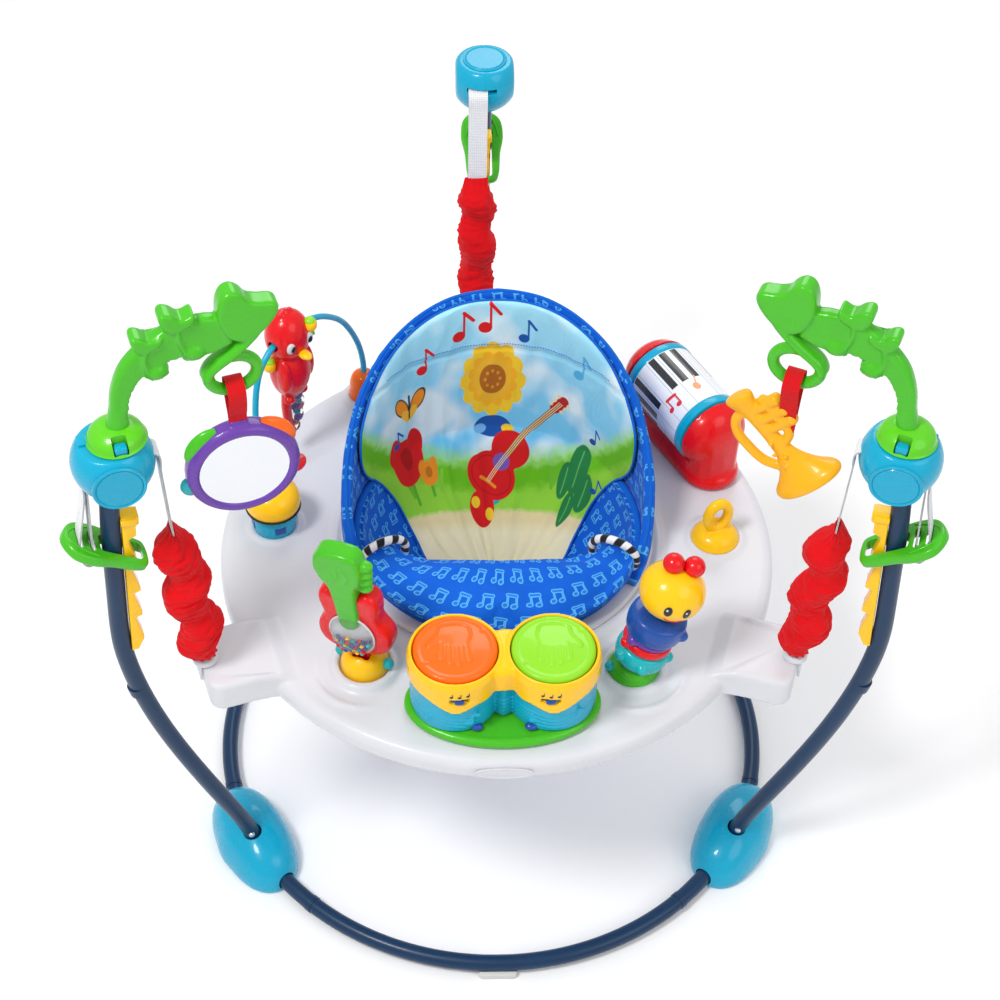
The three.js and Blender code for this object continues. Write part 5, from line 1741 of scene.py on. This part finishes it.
def bug_head():
    """A yellow ball with two red feelers, plain eyes and a plain smile."""
    middle, radii = Vector((0, 0, 130)), Vector((34.6, 33.6, 30.6))
    piece("bug_face", [ball(middle, tuple(radii), 72, 48)], YELLOW, "tray", BUG)
    feelers = [ball((x, 4, 165), (11.4, 11.4, 11), 36, 24) for x in (-10, 12)]
    feelers += [sweep([(x * 0.5, 2, 152), (x, 4, 160)], 3, 12) for x in (-10, 12)]
    piece("bug_feelers", feelers, RED, "tray", BUG)

    def on_face(across, up, out=0.0):
        a, b = math.radians(across), math.radians(up)
        way = Vector((math.sin(a) * math.cos(b), -math.cos(a) * math.cos(b), math.sin(b)))
        return middle + Vector((way.x * (radii.x + out), way.y * (radii.y + out), way.z * (radii.z + out)))

    def spot(name, across, up, size, material, tall=1.0, out=0.0, thick=0.9):
        at = on_face(across, up, out)
        normal = (at - middle).normalized()
        facing = normal.to_track_quat("Z", "Y").to_matrix().to_4x4()
        oval = moved(ball((0, 0, 0), (size, size * tall, thick), 32, 16), shift(*at) @ facing)
        piece(name, [oval], material, "tray", BUG)
    for side, across in (("left", -14), ("right", 20)):
        spot(f"bug_eye_{side}", across, 4, 4.3, BLACK, 1.5)
        spot(f"bug_glint_{side}", across - 2, 7, 1.3, WHITE, 1.2, 0.5)
    smile = [on_face(-15 + i * 3.2, -20 - 7 * math.sin(math.pi * i / 11), 0.1) for i in range(12)]
    piece("bug_smile", [sweep(smile, 0.7, 10)], RED, "tray", BUG)


# ---------------------------------------------------------------- loop toy and spinner
def loop_toy():
    """A yellow loop that turns on a domed foot."""
    matrix = ROW @ shift(*LOOP_AT, TOY_FLOOR)
    dome = revolve(rounded([(AXIS, 0), (25.8, 0), (25.4, 5), (21.5, 11), (14, 15.5), (AXIS, 17.6)], 4), 64)
    loop = moved(sweep(oval((0, 36), 12.6, 18), 6.2, 18, closed=True), turned("Z", 20))
    moulded("loop_shape", [dome, loop], YELLOW, "loop_toy", matrix, ["loop_toy"], voxel=1.2, relax=5)


def spinner():
    """A blue drum with four windows under a yellow cup."""
    matrix = ROW @ shift(*SPINNER, TOY_FLOOR)
    drum = [(AXIS, 0.4), (21.6, 0.4), (24, 3), (25, 10), (25, 22), (23, 27.4), (20, 29), (AXIS, 29)]
    piece("spinner_drum", [revolve(rounded(drum, 4), 72)], CYAN, "spinner_toy", matrix, ["spinner_toy"])
    windows = []
    for angle in (20, 110, 200, 290):
        x, y = polar(23.9, angle)
        windows.append(moved(block(-1.6, 1.6, -6.5, 6.5, 8, 19, 1.5), shift(x, y) @ turned("Z", angle)))
    piece("spinner_windows", windows, DEEP_BLUE, "spinner_toy", matrix)
    cup = [(AXIS, 28), (20, 28.6), (27, 31), (30.2, 36), (31, 42), (29.6, 50), (24, 58), (14, 63.4),
           (AXIS, 65)]
    piece("spinner_cup", [revolve(rounded(cup, 4), 80)], YELLOW, "spinner_toy", matrix)
    line = [(26, 29.4), (30.4, 31.6), (31.4, 33.2), (30.8, 34.6), (28, 33)]
    piece("spinner_line", [ring_solid(line, 80)], BLACK, "spinner_toy", matrix)


# ---------------------------------------------------------------- bead arch and bird
ARCH_FAR = 190.0
ARCH = ROW @ shift(*ARCH_AT) @ turned("Z", ARCH_YAW)
BIRD_AT, CROWN = 60.0, 565.0
ARCH_WIRE = [(0, 386), (-4, 440), (-2, 500), (8, 541), (28, 562), (44, CROWN), (60, CROWN), (76, CROWN),
             (94, 562), (124, 547), (156, 516), (180, 470), (ARCH_FAR, 430), (ARCH_FAR, 400)]


def bead_arch():
    """The blue wire from its heel over to the orange boss."""
    wire = spline([(s, 0, z) for s, z in ARCH_WIRE], 10)
    piece("arch_wire", [sweep(wire, 3.6, 20)], CYAN, "tray", ARCH, ["bead_arch"])
    heel = [(AXIS, 376.5), (12, 376.5), (11.6, 384), (9, 390), (4.4, 394), (AXIS, 394)]
    piece("arch_heel", [revolve(rounded(heel, 4), 48)], CYAN, "tray", ARCH)
    boss_shape = [(AXIS, 376.5), (17, 376.5), (17.4, 388), (16.4, 400), (12.6, 409), (5.4, 413.4),
                  (AXIS, 414)]
    piece("arch_boss", [revolve(rounded(boss_shape, 4), 56)], ORANGE, "tray", ARCH @ shift(ARCH_FAR, 0))


def bird():
    """A plain red bird that hangs on the wire, with a clear rattle tail."""
    matrix = ARCH @ shift(BIRD_AT, 0, CROWN)
    bore = moved(slab(circle(6.3, sides=40), -50, 50, 0.4), turned("Y", 90))
    crest = [ball((x, 0, 33 - abs(x) * 0.3), (4.2, 3.6, 5.2), 20, 14) for x in (-6, 0, 6)]
    wings = [ball((x, -8, -46), (7.5, 10, 24), 28, 20) for x in (-19, 19)]
    feet = [ball((x, -6, -86), (7, 6, 5), 20, 14) for x in (-12, 12)]
    belly, head = ball((0, 0, -49), (24.6, 22.6, 39), 48, 32), ball((0, 0, 1), (26.6, 24.6, 32.6), 48, 32)
    moulded("bird_body", [belly, head, *crest, *wings, *feet], RED, "bird", matrix, ["bird_toy"],
            cuts=[bore], voxel=1.3, relax=5)
    bird_face(matrix)
    for name, x, y, z in (("near", -22.5, 9, -34), ("far", 17, -19, 13)):
        at = matrix @ shift(x, y, z)
        top = [ball((0, 0, 4.6), (6.6, 6.4, 5.4), 28, 18), sweep([(2, 0, -6), (5, 0, -17)], 2.2, 12)]
        piece(f"bird_maraca_{name}", [ball((0, 0, 0), (8.4, 8.2, 8.6), 32, 22)], YELLOW, "bird", at)
        piece(f"bird_maraca_top_{name}", top, LIME, "bird", at)
    bird_tail(matrix)


def bird_face(matrix):
    """A yellow beak and two plain eyes, turned a little to one side."""
    face = turned("Z", -8)
    beak = [ball((0, -27, -12), (6.2, 10.5, 4.2), 24, 16), ball((0, -25.5, -15.4), (4.6, 7.6, 2.6), 20, 12)]
    piece("bird_beak", [moved(b, face) for b in beak], YELLOW, "bird", matrix)
    for name, x in (("left", -12.5), ("right", 12.5)):
        white = ball((x, -20.6, 0.5), (6.6, 3.0, 7.4), 28, 18)
        pupil = ball((x + 0.6, -23.0, -0.5), (3.5, 1.5, 4.3), 24, 14)
        piece(f"bird_eye_{name}", [moved(white, face)], WHITE, "bird", matrix)
        piece(f"bird_pupil_{name}", [moved(pupil, face)], BLACK, "bird", matrix)


def bird_tail(matrix):
    """A red stick beside a clear pod of beads with a red rim."""
    stick = [(-5, 3, -78), (-7, 4, -104), (-4, 5, -132), (0, 5, -151)]
    piece("bird_tail_stick", [sweep(spline(stick, 6), 5.6, 16)], RED, "bird", matrix)
    lobes = [(10, -98, 10), (12, -114, 10), (9, -130, 9.6), (3, -142, 8)]
    piece("bird_tail_pod", [ball((x, 4, z), (r, 8, r), 36, 24) for x, z, r in lobes], CLEAR, "bird", matrix)
    rim = [(2, -88), (14, -88), (21, -98), (20, -107), (23, -115), (19, -124), (19, -132), (12, -140),
           (9, -149), (0, -152)]
    rim_path = spline([(x, 4, z) for x, z in rim], 5)
    piece("bird_tail_rim", [sweep(rim_path, 1.5, 10)], RED, "bird", matrix)
    for name, material, spots in (("teal", TEAL, ((8, -96), (12, -110), (9, -124))),
                                  ("plum", PURPLE, ((13, -101), (7, -116), (10, -134))),
                                  ("pink", PINK, ((5, -104), (14, -118), (4, -138)))):
        beads = [ball((x, 3, z), 4.2, 20, 14) for x, z in spots]
        piece(f"bird_beads_{name}", beads, material, "bird", matrix)


# ---------------------------------------------------------------- hanging mirror and trumpet
RING_TUBE = (-29.0, 761.5)


def hanging_loop(name, body, matrix, bottom):
    """A red woven tape folded over the arm's ring and sewn together below it."""
    s, z = RING_TUBE
    arc = [(x, z + rise) for x, rise in (polar(12.1, a) for a in range(0, 181, 15))]
    side = [(1.5, bottom), (2.4, bottom + 14), (6.5, z - 24), (11, z - 10)]
    path = [*side, *arc, *((-x, height) for x, height in reversed(side))]
    tape = ribbon(path, 17, 1.5)
    piece(name, [moved(tape, shift(s, 0) @ turned("Z", 90))], RED_TAPE, body, matrix)


def tape_cloth(name):
    """Red tape with a diagonal rib, with painted shade in the rib's dips and painted light on its crests."""
    material, tree, shader = start_material(name, "red_fabric")
    _, (u, v, _w) = coordinates(tree, "UV")
    rib = (u * 2.6).sin() * (v * 2.2).sin()
    # colour follows the rib's bump height: darker in the dips as painted shade, lighter on the crests as
    # painted light
    tree.links.new(mix(tree, (rib * 0.5 + 0.5), (0.56, 0.003, 0.006), (0.78, 0.006, 0.010)),
                   shader.inputs["Base Color"])
    shader.inputs["Roughness"].default_value = 0.7
    shader.inputs["Specular IOR Level"].default_value = 0.15
    shader.inputs["Sheen Weight"].default_value = 0.05
    bumped(tree, shader, rib, 0.0003)
    return material


RED_TAPE = tape_cloth("red_tape")
YELLOW_WARM = plastic("yellow_warm", "yellow_plastic", (0.90, 0.42, 0.006), rough=0.34, coat=0.2)
MIRROR_Z = 662.0


def mirror_toy():
    """A round purple rim with a mirror on each face and four coloured lobes."""
    matrix = ARM["left"] @ shift(RING_TUBE[0], 0, MIRROR_Z)
    tip = turned("X", 90)
    rim = [(43.5, -9), (47, -11.2), (52, -10.4), (55.4, -6), (56, 0), (55.4, 6), (52, 10.4), (47, 11.2),
           (43.5, 9)]
    loop_bar = block(-8.5, 8.5, -4, 4, 46, 60, 2)
    moulded("mirror_rim", [moved(ring_solid(rim, 96), tip), loop_bar], PURPLE, "mirror", matrix,
            ["mirror_toy"], voxel=1.2, relax=4)
    disc = revolve(rounded([(AXIS, 6.4), (44.4, 6.4), (44.4, 8.2), (43.4, 8.7), (AXIS, 8.7)], 3), 96)
    for name, quarter in (("front", 90), ("back", -90)):
        piece(f"mirror_film_{name}", [moved(disc, turned("X", quarter))], MIRROR, "mirror", matrix)
    for name, start, end, material in (("orange", 112, 158, ORANGE), ("green", 22, 68, GREEN),
                                       ("teal", 336, 354, TEAL), ("red", 186, 204, RED)):
        path = [(x, 0, z) for x, z in (polar(50.5, a) for a in range(start, end + 1, 3))]
        widths = [13.6 * math.sin(math.pi * (i + 1.2) / (len(path) + 1.4)) ** 0.35 for i in range(len(path))]
        piece(f"mirror_lobe_{name}", [sweep(path, widths, 24, flat=0.48)], material, "mirror", matrix)
    hanging_loop("mirror_tape", "mirror", ARM["left"], 714)


def trumpet():
    """A flattened horn with a handle, three valves, a bar and a few raised notes."""
    matrix = ARM["right"] @ shift(-81, 0, 724) @ turned("Y", 134)
    profile = [(AXIS, 0), (12, 0), (15.2, 2), (15.4, 6), (12.6, 14), (9.4, 26), (8.6, 46), (9.6, 68),
               (13, 82), (20, 94), (29, 104), (36.5, 110), (39.2, 114.5), (38, 118.5), (34, 118.5),
               (25, 108), (14, 96), (AXIS, 88)]
    horn = revolve(rounded(profile, 4), 72)
    horn = moved(horn, Matrix.Diagonal((1, 0.58, 1, 1)))
    handle = spline([(5, 0, 20), (19, 0, 23), (28.5, 0, 36), (30, 0, 54), (27, 0, 76), (14, 0, 92)], 8)
    valves = []
    for z in (22, 35, 48):
        valve = spline([(4, 0, z), (-14, 0, z), (-31, 0, z - 1)], 6)
        valves.append(sweep(valve, [5.6] * 10 + [6.6] * 3, 18))
        valves.append(ball((-33, 0, z - 1), (5.6, 7.4, 6.6), 24, 16))
    bar = sweep(spline([(-20, 0, 12), (-21, 0, 34), (-20, 0, 58), (-6, 0, 68)], 8), 5.2, 16)
    notes = [ball((x, -7.4 - (z - 56) * 0.1, z), (3.2, 1.6, 2.6), 14, 10)
             for x, z in ((2, 60), (6, 72), (-3, 78), (4, 88))]
    moulded("trumpet_horn", [horn, sweep(handle, 5, 18), *valves, bar, *notes], YELLOW_WARM, "trumpet",
            matrix, ["trumpet_toy"], voxel=1.3, relax=5)
    hanging_loop("trumpet_tape", "trumpet", ARM["right"], 699)


drums()
piano_frame()
piano_barrel()
guitar_foot()
guitar()
bug()
loop_toy()
spinner()
bead_arch()
bird()
mirror_toy()
trumpet()


# ---------------------------------------------------------------- floor, lights and camera
FLOOR_HALF = 6.0


def stage():
    """A plain pale floor."""
    mesh = bpy.data.meshes.new("floor")
    corners = [(x * FLOOR_HALF, y * FLOOR_HALF, 0) for x, y in ((-1, -1), (1, -1), (1, 1), (-1, 1))]
    mesh.from_pydata(corners, [], [(0, 1, 2, 3)])
    floor = bpy.data.objects.new("floor", mesh)
    bpy.context.scene.collection.objects.link(floor)
    material, tree, shader = start_material("studio_floor", "white_plastic")
    where, _ = coordinates(tree)
    tone = noise_value(tree, where, 0.8, 2)
    tree.links.new(mix(tree, tone, (0.93, 0.93, 0.935), (0.96, 0.96, 0.965)), shader.inputs["Base Color"])
    shader.inputs["Roughness"].default_value = 0.7
    floor.data.materials.append(material)


def area_light(name, location, target, size, power):
    """A round soft light aimed at target."""
    light = bpy.data.lights.new(name, "AREA")
    light.shape = "DISK"
    light.size = size
    light.energy = power
    obj = bpy.data.objects.new(name, light)
    obj.location = location
    obj.rotation_euler = (Vector(target) - Vector(location)).to_track_quat("-Z", "Y").to_euler()
    bpy.context.scene.collection.objects.link(obj)


def lights():
    """A white surround with a key, a fill and a rim light."""
    world = bpy.data.worlds.new("studio")
    bpy.context.scene.world = world
    world.use_nodes = True
    background = world.node_tree.nodes["Background"]
    background.inputs["Color"].default_value = (1.0, 1.0, 1.0, 1)
    background.inputs["Strength"].default_value = 0.66
    middle = (0, 0, 0.4)
    area_light("key", (-1.3, -1.2, 3.0), middle, 0.75, 54)
    area_light("fill", (1.9, -1.6, 2.2), middle, 2.0, 18)
    area_light("rim", (0.4, 2.2, 2.4), middle, 1.5, 20)
    bpy.context.scene.view_settings.view_transform = "Standard"


# Solved from the floor ring, the tray's circle and the three equal posts; the roll is in degrees.
CAMERA_FROM = Vector((-0.065, -1.447, 1.961))
CAMERA_WAY = Vector((0.0317, 0.6886, -0.7244))
CAMERA_ROLL = 1.73
LENS = 68.3


def camera():
    """The photograph's camera."""
    data = bpy.data.cameras.new("camera")
    data.sensor_width = 36
    data.lens = LENS
    data.clip_start = 0.05
    obj = bpy.data.objects.new("camera", data)
    bpy.context.scene.collection.objects.link(obj)
    facing = CAMERA_WAY.normalized()
    right = facing.cross(Vector((0, 0, 1))).normalized()
    up = right.cross(facing)
    turn = math.radians(CAMERA_ROLL)
    rolled_right = right * math.cos(turn) + up * math.sin(turn)
    rolled_up = up * math.cos(turn) - right * math.sin(turn)
    rotation = Matrix((rolled_right, rolled_up, -facing)).transposed().to_4x4()
    start = CAMERA_FROM + ROW.to_translation()
    obj.matrix_world = Matrix.Translation(start) @ rotation
    bpy.context.scene.camera = obj


stage()
lights()
camera()
